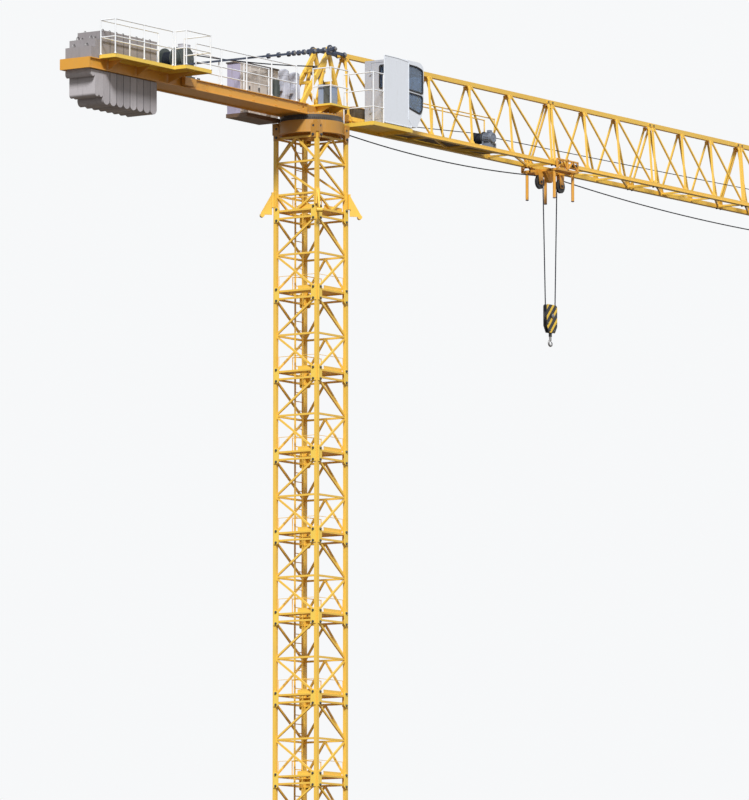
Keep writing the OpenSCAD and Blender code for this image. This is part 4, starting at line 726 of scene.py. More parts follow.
def buildRopes():
    down = crossAngle(apexWheel, apexR, rootWheel, rootR)
    run = hanging(onWheel(drum["axis"], drum["radius"], 91.2)[0], onWheel(apexWheel, apexR, 96.8)[0], 0.045)
    top = np.concatenate([run, around(apexWheel, apexR, 85, down), around(rootWheel, rootR, down + 180, 265)])
    layRope("rope_from_winch", wire(top), "hoist_rope_top", "upper_works")
    coil = wound(drum, np.radians(91), rope["radius"])
    addPiece("rope_on_hoist_drum", coil, finish["rope"], "hoist_drum")

    start = onWheel(rootWheel, rootR, 265.4)[0] + np.array([0.0006, 0, 0])
    end = onWheel(inWheel, sheaveR, 94.1)[0]
    layRope("rope_to_trolley", wire(hanging(start, end, 0.105)), "hoist_rope_inner",
            ends=("upper_works", "trolley", start, end))

    start = onWheel(outWheel, sheaveR, 86.3)[0]
    end = np.array([jibEnd + 0.014, 0, jibZ - 0.2])
    layRope("rope_to_tip", wire(hanging(start, end, 0.16, 90)), "hoist_rope_outer",
            ends=("upper_works", "trolley", end, start))

    x, top = travelDrum["axis"][0], travelDrum["axis"][1] + travelDrum["radius"] + rope["fit"]
    outY, backY = 7 * travelDrum["pitch"], 3 * travelDrum["pitch"]
    tip = np.array([jibEnd + 0.035, 0.020, tipWheelTop + rope["thin"] + rope["fit"]])
    outward = hanging(np.array([x, outY, top]), tip, 0.012)
    back = hanging(np.array([x - 0.001, backY, top]), np.array([rootEye[0], backY, rootEye[1]]), 0.006)
    layRope("ropes_of_trolley_winch", joined(wire(outward, rope["thin"]), wire(back, rope["thin"])),
            "travel_rope", "upper_works")
    coil = wound(travelDrum, np.radians(90), rope["thin"])
    addPiece("rope_on_trolley_drum", coil, finish["rope"], "trolley_drum")

    lean = crossAngle(inWheel, sheaveR, blockWheel, blockR)
    falls = np.concatenate([around(inWheel, sheaveR, 93.2, lean),
                            around(blockWheel, blockR, 180 + lean, 360 - lean),
                            around(outWheel, sheaveR, 180 - lean, 87.2)])
    leaveTop, leaveLow = onWheel(inWheel, sheaveR, lean)[0], onWheel(blockWheel, blockR, 180 + lean)[0]
    layRope("rope_falls_wire", wire(falls), "rope_falls",
            ends=("trolley", "hook_block", (0, 0, leaveTop[2]), (0, 0, leaveLow[2])))


buildRopes()
print("ropes laid")


# tower: pins in the fishplates and in the drum's lugs
pins = dict(beside=0.038, out=0.0293, level=0.088, drumLevel=-0.044, eyeLevel=0.094)
pinHead = turned([(0, -0.012), (0.0165, -0.012), (0.0195, 0.0125), (0.0195, 0.024), (0.015, 0.030),
                  (0, 0.030)], 8)


def legFaces():
    # a point beside each leg on both its outer faces, and the way that each face looks
    quarter = np.array([[[c, -s], [s, c]] for c, s in ((1, 0), (0, 1), (-1, 0), (0, -1))])
    beside, out = half - pins["beside"], half + pins["out"]
    points = np.array([[out, beside], [beside, out]])
    return [np.einsum("qij,nj->qni", quarter, p).reshape(-1, 2) for p in (points, np.eye(2))]


def atLevels(flat, levels):
    # the points of a plan repeated at each level
    flat, levels = np.broadcast_arrays(flat[None], np.atleast_1d(levels)[:, None, None])
    return np.concatenate([flat, levels[..., :1]], -1).reshape(-1, 3)


def buildTowerPins():
    points, faces = legFaces()
    joints = towerZ + sectionH * np.arange(sectionCount + 1)
    levels = np.concatenate([joints - pins["level"], joints + pins["level"]])
    heads = placed(pinHead, atLevels(points, levels), atLevels(faces, levels * 0))
    addPiece("tower_pins", heads, finish["dark"], "tower")
    drumHead = turned([(0, 0.017), (0.0215, 0.018), (0.0215, 0.030), (0.0195, 0.037), (0.012, 0.0385),
                       (0, 0.0385)], 16)
    bush = turned([(0, 0.0092), (0.0197, 0.0092), (0.0197, 0.0165), (0.0165, 0.0175), (0.013, 0.0125),
                   (0, 0.0115)], 20)
    lugs = joined(
        placed(drumHead, atLevels(points, drumZ + pins["drumLevel"]), atLevels(faces, 0)),
        placed(bush, atLevels(points, drumZ + pins["eyeLevel"]), atLevels(faces, 0)))
    addPiece("drum_lug_pins", lugs, finish["dark"], "tower")


hexBolt = turned([(0, 0), (0.0085, 0), (0.009, 0.001), (0.009, 0.006), (0.0075, 0.008), (0, 0.008)], 6)


ringBolts = dict(count=36, radius=0.462, level=deckZ + 0.024, girders=(0.145, 0.225))


def buildRingBolts():
    # none stands where a girder lies across the ring
    seats = np.pad(ringOf(ringBolts["radius"], ringBolts["count"]), ((0, 0), (0, 1)),
                   constant_values=ringBolts["level"])
    near, far = ringBolts["girders"]
    clear = (np.abs(seats[:, 1]) < near) | (np.abs(seats[:, 1]) > far)
    addPiece("ring_bolts", placed(hexBolt, seats[clear]), finish["steel"])


# jib: gussets at every joint of the bracing, pinned lugs between the sections
jib = dict(starts=[0.62, 6.455, 9.5, 12.26, 15.02], bays=[5, 3, 3, 3, 2], length=[1.15, 0.975, 0.9, 0.9, 0.9],
           lean=0.225, height=1.042, halfW=0.25, topY=0.03, topHalf=0.036, lowHalf=0.033, gusset=0.012,
           footIn=0.04, pinIn=0.06)
alongJib = np.array([1.0, 0, 0])


def buildJibDetails():
    feet = np.concatenate([start + jib["footIn"] + np.arange(n + 1) * bay
                           for start, n, bay in zip(jib["starts"], jib["bays"], jib["length"])])
    rise = np.array([jib["halfW"] - jib["topY"], jib["height"]])
    slope = np.hypot(*rise)
    low = plate([(-0.085, 0.03), (0.085, 0.03), (0.05, 0.085), (-0.03, 0.085)], jib["gusset"])
    high = plate([(0.07, -0.043), (-0.06, -0.043), (-0.04, -0.10), (0.04, -0.10)], jib["gusset"])
    for side, label in ((-1, "near"), (1, "far")):
        up = np.array([0, -side * rise[0], rise[1]]) / slope
        out = np.cross([1.0, 0, 0], up)
        foot = pointsOf(feet, side * jib["halfW"], jibZ) - out * jib["gusset"] / 2
        head = foot + np.array([jib["lean"], 0, 0]) + up * slope
        plates = joined(placed(low, foot, out, alongJib), placed(high, head[:-1], out, alongJib))
        addPiece("jib_gussets_" + label, plates, finish["yellow"])

    lug = plate(rounded(oblong(0.21, 0.052), 0.014, 4), 0.009)
    head = turned([(0, -0.004), (0.015, -0.004), (0.015, 0.017), (0.010, 0.021), (0, 0.021)], 12)
    ends = np.array(jib["starts"][1:])
    lugs, heads = [], []
    for y in (-jib["halfW"], jib["halfW"]):
        seat = pointsOf(ends, y, jibZ + jib["lowHalf"])
        lugs.append(placed(lug, seat, (0, 0, 1), alongJib))
        for shift in (-jib["pinIn"], jib["pinIn"]):
            heads.append(placed(head, seat + [shift, 0, 0], (0, 0, 1)))
            heads.append(placed(head, seat + [shift, 0, -2 * jib["lowHalf"]], (0, 0, -1)))
    for side in (-1, 1):
        seat = pointsOf(ends + jib["lean"], side * jib["topHalf"], jibZ + jib["height"])
        lugs.append(placed(lug, seat, (0, side, 0), alongJib))
        heads += [placed(head, seat + [shift, 0, 0], (0, side, 0)) for shift in (-jib["pinIn"], jib["pinIn"])]
    addPiece("jib_lugs", joined(*lugs), finish["yellow"])
    addPiece("jib_pins", joined(*heads), finish["dark"])


# apex and tie bars: pin heads with their keeper plates
ties = dict(y=0.24, tail=(-4.25, beamTop + 0.08), top=(0.28, jibZ + 1.05), links=[-0.80, -0.53, -0.26, 0.01],
            cheek=0.1726, topPinY=0.2702, tailPinY=0.259, jibPin=(0.81, 0.085), linkHalf=0.017)


def buildTiePins():
    head = turned([(0, -0.002), (0.030, -0.002), (0.030, 0.006), (0.024, 0.009), (0.024, 0.014),
                   (0.019, 0.017), (0, 0.017)], 20)
    washer = turned([(0.028, -0.001), (0.050, -0.001), (0.052, 0.004), (0.046, 0.009), (0.028, 0.009),
                     (0.028, -0.001)], 28)
    (topX, topZ), (tailX, tailZ) = ties["top"], ties["tail"]
    slope = (topZ - tailZ) / (topX - tailX)
    x = np.array(ties["links"])
    z = topZ - slope * (topX - x)
    heads = []
    for side in (-1, 1):
        for face in (-1, 1):
            seats = pointsOf(x, side * ties["y"] + face * ties["linkHalf"], z)
            heads.append(placed(head, seats, (0, face, 0)))
        heads.append(placed(head, [topX, side * ties["topPinY"], topZ], (0, side, 0)))
        heads.append(placed(washer, [topX, side * ties["cheek"], topZ], (0, side, 0)))
        heads.append(placed(head, [tailX, side * ties["tailPinY"], tailZ], (0, side, 0)))
        jibPin = [ties["jibPin"][0], side * ties["jibPin"][1], jibZ + jib["height"]]
        heads.append(placed(head, jibPin, (0, side, 0)))
    addPiece("tie_pins", joined(*heads), finish["steel"])


# counterjib: bolts at the cross members, railing feet, slab eyes
counter = dict(beamY=0.245, webOut=0.006, crossX=-np.arange(0.675, 4.3, 0.6), boltX=(-0.018, 0.018),
               boltZ=(0.035, 0.115), walkX=np.linspace(-3.385, -0.76, 5), walkY=0.2625)
decks = dict(longX=np.array([-5.801, -5.080, -4.359]), longY=(-0.546, -0.276),
             shortX=np.array([-4.3304, -3.714]), shortY=-0.776, top=beamTop + 0.0563)


def buildCounterjibDetails():
    x = counter["crossX"][:, None, None] + np.array(counter["boltX"])[None, :, None]
    z = beamTop - 0.162 + np.array(counter["boltZ"])[None, None, :]
    web = counter["beamY"] + counter["webOut"]
    rows = [placed(hexBolt, pointsOf(x, side * web, z).reshape(-1, 3), (0, side, 0)) for side in (-1, 1)]
    addPiece("cross_member_bolts", joined(*rows), finish["orange"])

    foot = turned([(0, 0), (0.024, 0), (0.024, 0.006), (0.0145, 0.009), (0.0145, 0.022), (0, 0.022)], 10)
    seats = [pointsOf(counter["walkX"], side * counter["walkY"], beamTop + 0.0003) for side in (-1, 1)]
    seats += [pointsOf(decks["longX"], y, decks["top"]) for y in decks["longY"]]
    seats.append(pointsOf(decks["shortX"], decks["shortY"], decks["top"]))
    addPiece("railing_feet", placed(foot, np.concatenate(seats)), finish["white"])


def liftingEye(reach, tall, radius):
    # half a hoop: x = reach cos a, z = tall sin a, with both feet going 10 mm into the slab
    a = np.linspace(0, np.pi, 10)
    hoop = pointsOf(reach * np.cos(a), 0, tall * np.sin(a))
    return swept(np.concatenate([[[reach, 0, -0.01]], hoop, [[-reach, 0, -0.01]]]), ringOf(radius, 8))


def buildSlabEyes():
    middles = slabs["firstFull"] + slabs["full"] * (np.arange(slabs["count"]) + 0.5)
    seats = pointsOf(middles, -slabs["eyeY"], jibZ + slabs["fullTop"])
    small = placed(liftingEye(0.026, 0.034, 0.006), np.concatenate([seats, seats * [1, -1, 1]]))
    seats = pointsOf(slabs["endX"], -slabs["endEyeY"], jibZ + np.array(slabs["endTops"]))
    large = placed(liftingEye(0.036, 0.055, 0.008), np.concatenate([seats, seats * [1, -1, 1]]))
    addPiece("slab_eyes", joined(small, large), finish["steel"])


# winches and slewing motors
gearbox = dict(faceY=-0.222, radius=0.115, bolts=10, boxes=(-0.09, 0.03), cheekY=0.226, capRadius=0.048,
               caps=6, capY=0.24)


def upright(radius, angles, x, y, z):
    # points on a circle about an axle that lies across the jib
    return pointsOf(x + radius * np.cos(angles), y, z + radius * np.sin(angles))


def buildWinchDetails():
    x, z = drum["axis"]
    seats = upright(gearbox["radius"], fullTurn(gearbox["bolts"]), x, gearbox["faceY"], z)
    cover = turned([(0, -0.001), (0.098, -0.001), (0.098, 0.003), (0.092, 0.0045), (0.03, 0.005),
                    (0, 0.006)], 32)
    bearing = turned([(0, -0.001), (0.062, -0.001), (0.062, 0.010), (0.056, 0.014), (0.036, 0.016),
                      (0.034, 0.022), (0, 0.022)], 32)
    caps = upright(gearbox["capRadius"], fullTurn(gearbox["caps"]) + 0.3, x, gearbox["capY"], z)
    covers = joined(placed(cover, [x, gearbox["faceY"], z], (0, -1, 0)),
                    placed(bearing, [x, gearbox["cheekY"], z], (0, 1, 0)))
    addPiece("winch_covers", covers, finish["winch"])
    bolts = joined(placed(hexBolt, seats, (0, -1, 0), stretch=0.75), placed(hexBolt, caps, (0, 1, 0)))
    addPiece("winch_bolts", bolts, finish["steel"])
    lid = joined(block(0.076, 0.096, 0.052, 0.010), placed(block(0.084, 0.104, 0.012, 0.012), [0, 0, 0.050]))
    seats = [[x + shift + 0.035, gearbox["faceY"] + 0.065, z + 0.158] for shift in gearbox["boxes"]]
    addPiece("winch_terminal_boxes", placed(lid, seats), finish["motor"])


slewing = dict(places=[(-0.80, -0.05, beamTop - 0.0114), (-0.45, 0.0, girderTop + 0.0003)], radius=0.08,
               flange=0.09, tops=(0.61, 0.612), fins=20, brake=(-1.01, -0.05, 0.056, 0.434), brakeFins=16)


def buildMotorDetails():
    white, dark = [], []
    radius, a = slewing["radius"], fullTurn(slewing["fins"])
    outward = pointsOf(np.cos(a), np.sin(a), 0)
    for (x, y, z), top in zip(slewing["places"], slewing["tops"]):
        tall = (jibZ + top - z) * 0.42
        fin = plate(rounded(oblong(0.005, tall), 0.002, 3), 0.013, 0.001)
        seats = outward * (radius - 0.002) + [x, y, z + 0.10 + tall / 2]
        white.append(placed(fin, seats, outward, np.cross([0, 0, 1.0], outward)))
        cowl = turned([(radius * 0.96, 0), (radius + 0.005, 0.002), (radius + 0.006, 0.05),
                       (radius * 0.96, 0.056), (radius * 0.96, 0)], 32)
        white.append(placed(cowl, [x, y, jibZ + top - 0.115]))
        white.append(placed(block(0.07, 0.10, 0.05, 0.01), [x - radius - 0.012, y, z + 0.20], (-1, 0, 0)))
        dark.append(placed(hexBolt, outward[::3] * slewing["flange"] + [x, y, z + 0.046]))
    addPiece("slewing_motor_fins", joined(*white), finish["motor"])
    addPiece("slewing_motor_bolts", joined(*dark), finish["steel"])
    x, y, radius, top = slewing["brake"]
    a = fullTurn(slewing["brakeFins"])
    outward = pointsOf(np.cos(a), np.sin(a), 0)
    fin = plate(rounded(oblong(0.004, 0.16), 0.0015, 3), 0.010, 0.001)
    seats = outward * (radius - 0.002) + [x, y, jibZ + top - 0.17]
    fins = placed(fin, seats, outward, np.cross([0, 0, 1.0], outward))
    addPiece("brake_motor_fins", fins, finish["winch"])


travel = dict(faceY=-0.19, farY=0.19, finsY=-0.105, fins=22, radius=0.086)


def buildTravelWinchDetails():
    x, z = travelDrum["axis"]
    outward = upright(1.0, fullTurn(travel["fins"]), 0, 0, 0)
    fin = plate(rounded(oblong(0.005, 0.10), 0.002, 3), 0.010, 0.001)
    seats = outward * (travel["radius"] - 0.002) + [x, travel["finsY"], z]
    fins = placed(fin, seats, outward, np.cross([0, 1.0, 0], outward))
    cowl = turned([(0, -0.002), (0.078, -0.002), (0.082, 0.004), (0.078, 0.010), (0.060, 0.012),
                   (0.058, 0.007), (0.02, 0.007), (0.016, 0.011), (0, 0.011)], 32)
    hub = turned([(0, -0.002), (0.040, -0.002), (0.040, 0.008), (0.030, 0.012), (0, 0.012)], 24)
    nozzle = turned([(0, -0.004), (0.029, -0.004), (0.029, 0.012), (0.018, 0.016), (0.018, 0.024),
                     (0, 0.024)], 24)
    fittings = [fins, placed(cowl, [x, travel["faceY"], z], (0, -1, 0)),
                placed(hub, [x, travel["farY"], z], (0, 1, 0)),
                placed(nozzle, [x + 0.14, travel["faceY"] + 0.07, z - 0.02], (1, 0, 0)),
                placed(block(0.07, 0.06, 0.042, 0.008), [x - 0.01, -0.13, z + travel["radius"] - 0.006])]
    addPiece("trolley_winch_fittings", joined(*fittings), finish["bluish"])


# cabinets: louvres, door seams, handles
box = dict(faceY=0.40, left=-1.32, right=-0.32, low=-0.08, high=0.67, doors=4, rows=5, louvre=0.11)


def buildCabinetDetails():
    width = (box["right"] - box["left"]) / box["doors"]
    middles = box["left"] + width * (np.arange(box["doors"]) + 0.5)
    slat = plate([(0.0, -0.007), (0.007, 0.005), (0.0, 0.007)], box["louvre"], 0.001)
    rows = np.concatenate([low + 0.022 * np.arange(box["rows"]) for low in (0.02, 0.52)])
    x, z = [g.ravel() for g in np.meshgrid(middles - box["louvre"] / 2, rows)]
    slats = placed(slat, pointsOf(x, box["faceY"], z + jibZ), (1, 0, 0), np.array([0.0, -1.0, 0.0]))
    bead = rounded(oblong(0.008, 0.008), 0.002, 2)
    door = oblong(width - 0.018, box["high"] - box["low"] - 0.02)
    height = jibZ + (box["high"] + box["low"]) / 2
    frames = [flatLoop(door + [middle, height], box["faceY"] - 0.001, bead, 0.012, 4) for middle in middles]
    handle = turned([(0, 0), (0.008, 0), (0.008, 0.012), (0.012, 0.014), (0.012, 0.05), (0.008, 0.054),
                     (0, 0.054)], 10)
    seats = pointsOf(middles + width * 0.42, box["faceY"] - 0.012, jibZ + 0.30)
    addPiece("cabinet_louvres", joined(slats, *frames), finish["cabinet"])
    addPiece("cabinet_handles", placed(handle, seats), finish["dark"])

    seam = flatLoop(oblong(0.136, 0.25) + [-0.08, jibZ + 0.275], -0.351, bead, 0.010, 4)
    knob = placed(turned([(0, 0), (0.010, 0), (0.010, 0.010), (0.006, 0.014), (0, 0.014)], 12),
                  [-0.035, -0.35, jibZ + 0.28], (0, -1, 0))
    hinges = placed(turned([(0, 0), (0.006, 0), (0.006, 0.03), (0, 0.03)], 8),
                    [[-0.15, -0.353, jibZ + 0.19], [-0.15, -0.353, jibZ + 0.34]])
    addPiece("control_cabinet_door", joined(seam, knob, hinges), finish["control"])


# a lidded box on the jib's root beside the cab's door, a second small cabinet on the side platform
rootCase = dict(at=(1.015, -0.152), low=0.0335, size=(0.470, 0.244, 0.158), lid=(0.494, 0.262, 0.016))
sideCabinet = dict(at=(0.186, -0.260), size=(0.180, 0.100), lid=(0.192, 0.112, 0.012), top=0.428)


def buildSideBoxes():
    x, y = rootCase["at"]
    case = placed(block(*rootCase["size"], 0.012), [x, y, jibZ + rootCase["low"]])
    top = jibZ + rootCase["low"] + rootCase["size"][2]
    lid = placed(block(*rootCase["lid"], 0.014), [x, y, top - 0.0002])
    addPiece("jib_root_box", joined(case, lid), finish["box"])
    x, y = sideCabinet["at"]
    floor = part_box("control_cabinet")[0].z
    shell = placed(block(*sideCabinet["size"], jibZ + sideCabinet["top"] - floor, 0.008), [x, y, floor])
    lid = placed(block(*sideCabinet["lid"], 0.010), [x, y, jibZ + sideCabinet["top"] - 0.0002])
    addPiece("side_cabinet", joined(shell, lid), finish["control"])


# cab: gaskets, panel rim, door handle, wiper, operator's seat
cab = dict(x=1.03, front=1.96, nearY=-0.778, farY=-0.30, z=jibZ - 0.05, windowX=1.525,
           panelX=0.86, panelY=-0.7923,
           upper=[(0, 0.579), (0, 0.967), (0.230, 0.962), (0.395, 0.925), (0.400, 0.555)],
           lower=[(0, 0.295), (0, 0.530), (0.395, 0.510), (0.385, 0.300), (0.325, 0.226)],
           panel=[(0, -0.02), (0.74, -0.02), (0.74, 0.02), (0.665, 0.10), (0.665, 1.010), (0.37, 1.032),
                  (0, 1.035)],
           screenY=(-0.738, -0.34), screenZ=(0.06, 0.85), doorWindow=(-0.641, 0.118, 0.68, 0.36))


def frontX(z):
    # the raked front: its distance from the tower's axis at a height above the cab's floor
    return np.interp(z, [0, 0.208, 0.45, 0.88], cab["front"] - np.array([0.19, 0.05, 0.005, 0]))


def buildCab():
    strip = rounded(oblong(0.012, 0.024), 0.004, 3)
    loops = []
    for outline in (cab["upper"], cab["lower"]):
        corners = np.array(outline) + [cab["windowX"] + 0.002, cab["z"]]
        loops += [flatLoop(corners, y, strip, 0.04) for y in (cab["nearY"] - 0.004, cab["farY"] + 0.004)]
    z = np.linspace(cab["screenZ"][0], cab["screenZ"][1], 16)
    y0, y1 = cab["screenY"]
    across = np.linspace(y0, y1, 8)[1:-1]
    screen = [pointsOf(frontX(z) + 0.003, y0, z + cab["z"]),
              pointsOf(frontX(z[-1]) + 0.003, across, z[-1] + cab["z"]),
              pointsOf(frontX(z) + 0.003, y1, z + cab["z"])[::-1],
              pointsOf(frontX(z[0]) + 0.003, across[::-1], z[0] + cab["z"])]
    loops.append(swept(np.concatenate(screen), strip[:, ::-1][::-1], guide=(1.0, 0.0, 0.25), loop=True))
    addPiece("cab_gaskets", joined(*loops), finish["rubber"])

    middleY, width, middleZ, tall = cab["doorWindow"]
    ring = rounded(oblong(width, tall) + [middleY, cab["z"] + middleZ + 0.05], 0.03, 6)
    path = pointsOf(cab["x"] - 0.003, ring[:, 0], ring[:, 1])
    gasket = swept(path, rounded(oblong(0.010, 0.022), 0.003, 3), guide=(1.0, 0.0, 0.0), loop=True)
    bend = np.linspace(0, np.pi, 9)
    grip = pointsOf(cab["x"] - 0.035 * np.sin(bend), -0.715, cab["z"] + 0.46 - 0.05 * np.cos(bend))
    fittings = joined(gasket, swept(grip, ringOf(0.006, 10)))
    addPiece("cab_door_fittings", fittings, finish["rubber"], "cab_door")

    rim = flatLoop(np.array(cab["panel"]) + [cab["panelX"], cab["z"]], cab["panelY"] - 0.001,
                   rounded(oblong(0.008, 0.014), 0.003, 3), 0.012)
    spots = np.array([(0.03, 0.05), (0.03, 0.36), (0.03, 0.68), (0.03, 0.99), (0.34, 0.02), (0.34, 0.99),
                      (0.63, 0.14), (0.63, 0.42), (0.63, 0.70), (0.63, 0.97)])
    seats = pointsOf(spots[:, 0] + cab["panelX"], cab["panelY"], spots[:, 1] + cab["z"])
    screw = turned([(0, 0), (0.007, 0), (0.006, 0.003), (0.003, 0.0042), (0, 0.0044)], 10)
    addPiece("cab_panel_rim", joined(rim, placed(screw, seats, (0, -1, 0))), finish["cab"])

    z = np.array([0.30, 0.44, 0.60, 0.72])
    arm = pointsOf(frontX(z) + 0.013, [-0.50, -0.515, -0.53, -0.54], z + cab["z"])
    blade = pointsOf(frontX(z) + 0.012, -0.555, z + cab["z"] + 0.06)
    boss = turned([(0, -0.01), (0.016, -0.01), (0.016, 0.010), (0.010, 0.014), (0, 0.014)], 16)
    wiper = joined(swept(arm, ringOf(0.004, 8)), swept(blade, rounded(oblong(0.006, 0.010), 0.002, 2)),
                   placed(boss, arm[:1], (1, 0, -0.1)))
    addPiece("cab_wiper", wiper, finish["rubber"])
    buildSeat()


seat = dict(frontX=0.42, standX=0.30, y=-0.54, halfW=0.115, level=0.30, depth=0.24, lean=0.04, tall=0.27,
            dish=0.035, thick=0.012)


def buildSeat():
    # a moulded shell: back along the seat for the first half of u, then up the backrest, and across
    # it by v, the sides turned up as the fourth power of v
    u, v = np.linspace(0, 1, 15)[:, None], np.linspace(-1, 1, 11)[None, :]
    rise = np.maximum(u * 2 - 1, 0)
    depth = seat["depth"] * np.minimum(u * 2, 1) + seat["lean"] * rise
    curve = seat["dish"] * v ** 4 + 0 * u
    x = cab["x"] + seat["frontX"] - depth + curve * rise
    z = cab["z"] + seat["level"] + seat["tall"] * rise + curve * (1 - rise)
    front = pointsOf(x, seat["y"] + seat["halfW"] * v, z)
    back = front - pointsOf(seat["thick"] * rise, 0 * v, seat["thick"])
    ring = np.concatenate([front, back[:, ::-1]], 1)
    first, last = [end.mean(1, keepdims=True) + 0 * end for end in (ring[:1], ring[-1:])]
    shell = gridShape(*np.moveaxis(np.concatenate([first, ring, last]), -1, 0), wrapV=True)
    stand = turned([(0, 0), (0.09, 0), (0.09, 0.012), (0.035, 0.03), (0.03, 0.27), (0.06, 0.285),
                    (0, 0.288)], 20)
    stand = placed(stand, [cab["x"] + seat["standX"], seat["y"], cab["z"] + 0.0162])
    addPiece("cab_seat", joined(shell, stand), finish["dark"])


# trolley and hook block
trolley = dict(half=0.31, endX=0.3007, trussY=0.343, deckY=0.3297, floor=jibZ - 0.123, top=jibZ + 0.06,
               thick=0.026, beamX=0.27, beamY=0.2, tubeX=0.27, tubeY=0.265, tubeLow=-0.573, hubY=0.356,
               wheelX=0.2407, wheelZ=jibZ + 0.0073, railY=0.297, cheekY=0.03, capY=0.040)
fourCorners = np.array([(x, y) for x in (-1, 1) for y in (-1, 1)], float)


def sideTruss(y):
    # from (x, z) to (x, z), both as seen from the trolley's middle, and the bar's width
    half, end, low, top = trolley["half"], trolley["endX"], trolley["floor"] + 0.02, trolley["top"]
    wheelX, axle = trolley["wheelX"], trolley["wheelZ"]
    rows = [(-half, top, half, top, 0.030), (-half, low, half, low, 0.040), (0, low, 0, top + 0.03, 0.036)]
    for side in (-1, 1):
        rows += [(side * end, low, side * end, top, 0.030), (side * end, axle, side * wheelX, axle, 0.040),
                 (0, low, side * end / 2, top, 0.020), (side * end / 2, top, side * end, low, 0.020)]
    return [bars([trolleyX + x0, y, z0], [trolleyX + x1, y, z1], wide, trolley["thick"])
            for x0, z0, x1, z1, wide in rows]


def atWheels(shape, y):
    # a copy at each of the four wheels, looking away from the middle plane
    return [placed(shape, [trolleyX + side * trolley["wheelX"], face * y, trolley["wheelZ"]], (0, face, 0))
            for side, face in fourCorners]


def tubePoints(z):
    # where the four upright tubes pass a height
    side, face = fourCorners.T
    return pointsOf(trolleyX + side * trolley["tubeX"], face * trolley["tubeY"], z)


def buildTrolley():
    trusses = joined(*sideTruss(-trolley["trussY"]), *sideTruss(trolley["trussY"]))
    trusses = addPiece("trolley_side_trusses", trusses, finish["orange"], "trolley")
    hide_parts("trolley_trusses")

    floor, deckY, sheaveX = trolley["floor"], trolley["deckY"], outWheel[0] - trolleyX
    beamX, beamY = trolley["beamX"], trolley["beamY"]
    side, face = fourCorners.T
    seats = pointsOf(trolleyX + beamX * side, face * (deckY + 0.21) / 2, floor - 0.0002)
    beams = [placed(block(0.04, 2 * deckY, 0.04), [[trolleyX + x, 0, floor] for x in (-beamX, beamX)]),
             placed(block(0.58, 0.04, 0.0395), [[trolleyX, y, floor + 0.0002] for y in (-beamY, beamY)]),
             placed(block(0.06, deckY - 0.21, 0.0405), seats)]
    tubes = tubePoints(floor - 0.45)
    beams.append(rods(tubes, tubes + [0, 0, 0.455], 0.025, 20))
    cheek = np.array([(sheaveX - 0.06, floor + 0.03), (sheaveX - 0.04, inWheel[1] - 0.04),
                      (sheaveX + 0.04, inWheel[1] - 0.04), (sheaveX + 0.075, floor + 0.03)])
    for y in (-trolley["cheekY"], trolley["cheekY"]):
        beams.append(uprightPlate(cheek, trolleyX, y, 0.012))
        beams.append(uprightPlate((cheek * [-1, 1])[::-1], trolleyX, y, 0.012))
    keel = [(-0.26, floor + 0.035), (-0.26, floor + 0.02), (-0.17, floor), (-0.05, floor - 0.15),
            (0.02, floor - 0.15), (0.17, floor), (0.26, floor + 0.02), (0.26, floor + 0.035)]
    beams.append(uprightPlate(keel, trolleyX, 0, 0.056))
    deck = addPiece("trolley_deck", joined(*beams), finish["orange"], "trolley")
    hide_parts("trolley_frame")

    roller = turned([(0, -0.008), (0.024, -0.008), (0.030, -0.006), (0.030, 0.006), (0.024, 0.008),
                     (0.010, 0.008), (0.010, 0.0325), (0, 0.0325)], 28)
    rollers = joined(*atWheels(roller, trolley["railY"]))
    rollers = addPiece("trolley_rollers", rollers, finish["dark"], "trolley")
    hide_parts("trolley_wheels")


def buildTrolleyDetails():
    tubeCap = turned([(0, -0.004), (0.018, -0.004), (0.0262, 0.002), (0.0262, 0.010), (0.0255, 0.011),
                      (0, 0.011)], 16)
    caps = placed(tubeCap, tubePoints(jibZ + trolley["tubeLow"]))
    addPiece("trolley_tube_caps", caps, finish["zinc"], "trolley")
    hub = turned([(0, -0.004), (0.022, -0.004), (0.022, 0.006), (0.016, 0.010), (0.010, 0.018),
                  (0, 0.018)], 16)
    cap = turned([(0, -0.002), (0.022, -0.002), (0.022, 0.005), (0.016, 0.008), (0, 0.008)], 16)
    caps = [placed(cap, [x, face * trolley["capY"], z], (0, face, 0))
            for x, z in (inWheel, outWheel) for face in (-1, 1)]
    hubs = joined(*atWheels(hub, trolley["hubY"]), *caps)
    addPiece("trolley_hubs", hubs, finish["dark"], "trolley")


hookBlock = dict(top=jibZ - 2.27, tall=0.46, neck=0.06, half=0.152, cheekY=0.028, thick=0.016, boltY=0.036,
                 capY=0.052, bolts=[(0.105, 0.05), (0.12, 0.31), (0.055, 0.42)])


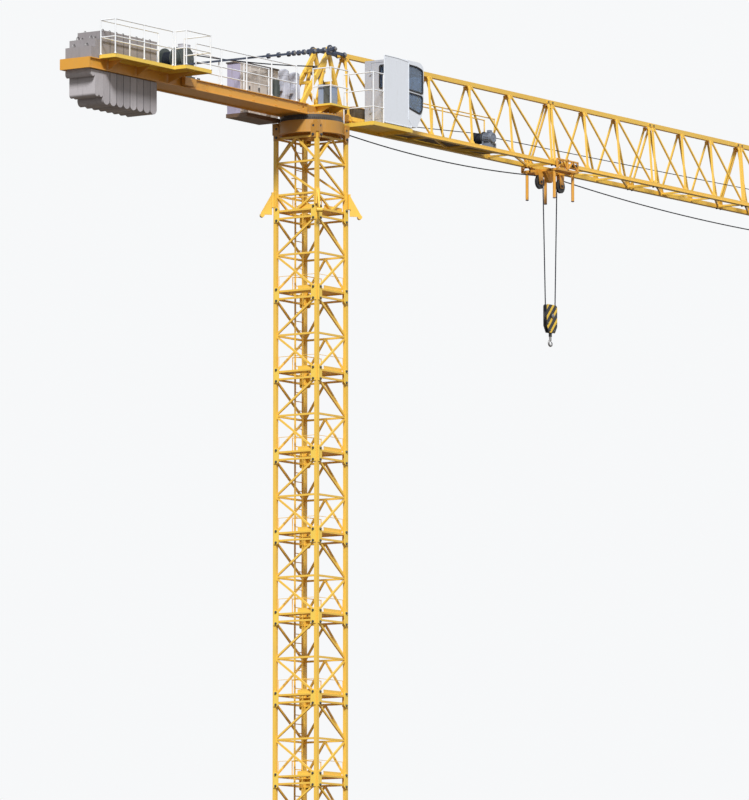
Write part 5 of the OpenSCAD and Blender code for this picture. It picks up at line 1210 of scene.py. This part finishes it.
def buildHookDetails():
    top, low, half = hookBlock["top"], hookBlock["top"] - hookBlock["tall"], hookBlock["half"]
    outline = [(-0.086, low), (0.086, low), (half, low + 0.11), (half, top - 0.024), (0.12, top),
               (-0.12, top), (-half, top - 0.024), (-half, low + 0.11)]
    cheekY, boltY, capY = hookBlock["cheekY"], hookBlock["boltY"], hookBlock["capY"]
    plates = [uprightPlate(outline, trolleyX, y, hookBlock["thick"]) for y in (-cheekY, cheekY)]
    spacer = placed(block(0.132, 0.042, 0.07), [trolleyX, 0, low + 0.001])
    neck = rods([trolleyX, 0, low - hookBlock["neck"]], [trolleyX, 0, low + 0.01], 0.027, 24)
    cheeks = addPiece("hook_block_cheeks", joined(*plates, spacer, neck), finish["stripes"],
                      "hook_block")
    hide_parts("hook_block")
    bolts = [placed(hexBolt, [trolleyX + side * x, face * boltY, top - z], (0, face, 0), stretch=1.3)
             for x, z in hookBlock["bolts"] for side, face in fourCorners]
    cap = turned([(0, -0.002), (0.034, -0.002), (0.034, 0.006), (0.024, 0.010), (0.014, 0.011),
                  (0, 0.013)], 24)
    caps = [placed(cap, [blockWheel[0], face * capY, blockWheel[1]], (0, face, 0)) for face in (-1, 1)]
    addPiece("hook_block_bolts", joined(*bolts, *caps), finish["steel"], "hook_block")
    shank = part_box("hook")[1].z
    latch = np.array([[0.030, 0, shank - 0.085], [0.046, 0, shank - 0.098], [0.055, 0, shank - 0.125],
                      [0.052, 0, shank - 0.140]]) + [trolleyX, 0, 0]
    strip = rounded(oblong(0.018, 0.004), 0.0015, 2)
    addPiece("hook_latch", swept(latch, strip), finish["zinc"], "hook")


buildTowerPins()
buildRingBolts()
buildJibDetails()
buildTiePins()
print("tower, jib and tie fittings made")
buildCounterjibDetails()
buildSlabEyes()
buildWinchDetails()
buildMotorDetails()
buildTravelWinchDetails()
buildCabinetDetails()
buildSideBoxes()
print("counterjib fittings, winches and cabinets made")
buildCab()
buildTrolley()
buildTrolleyDetails()
buildHookDetails()
print("cab, trolley and hook fittings made")
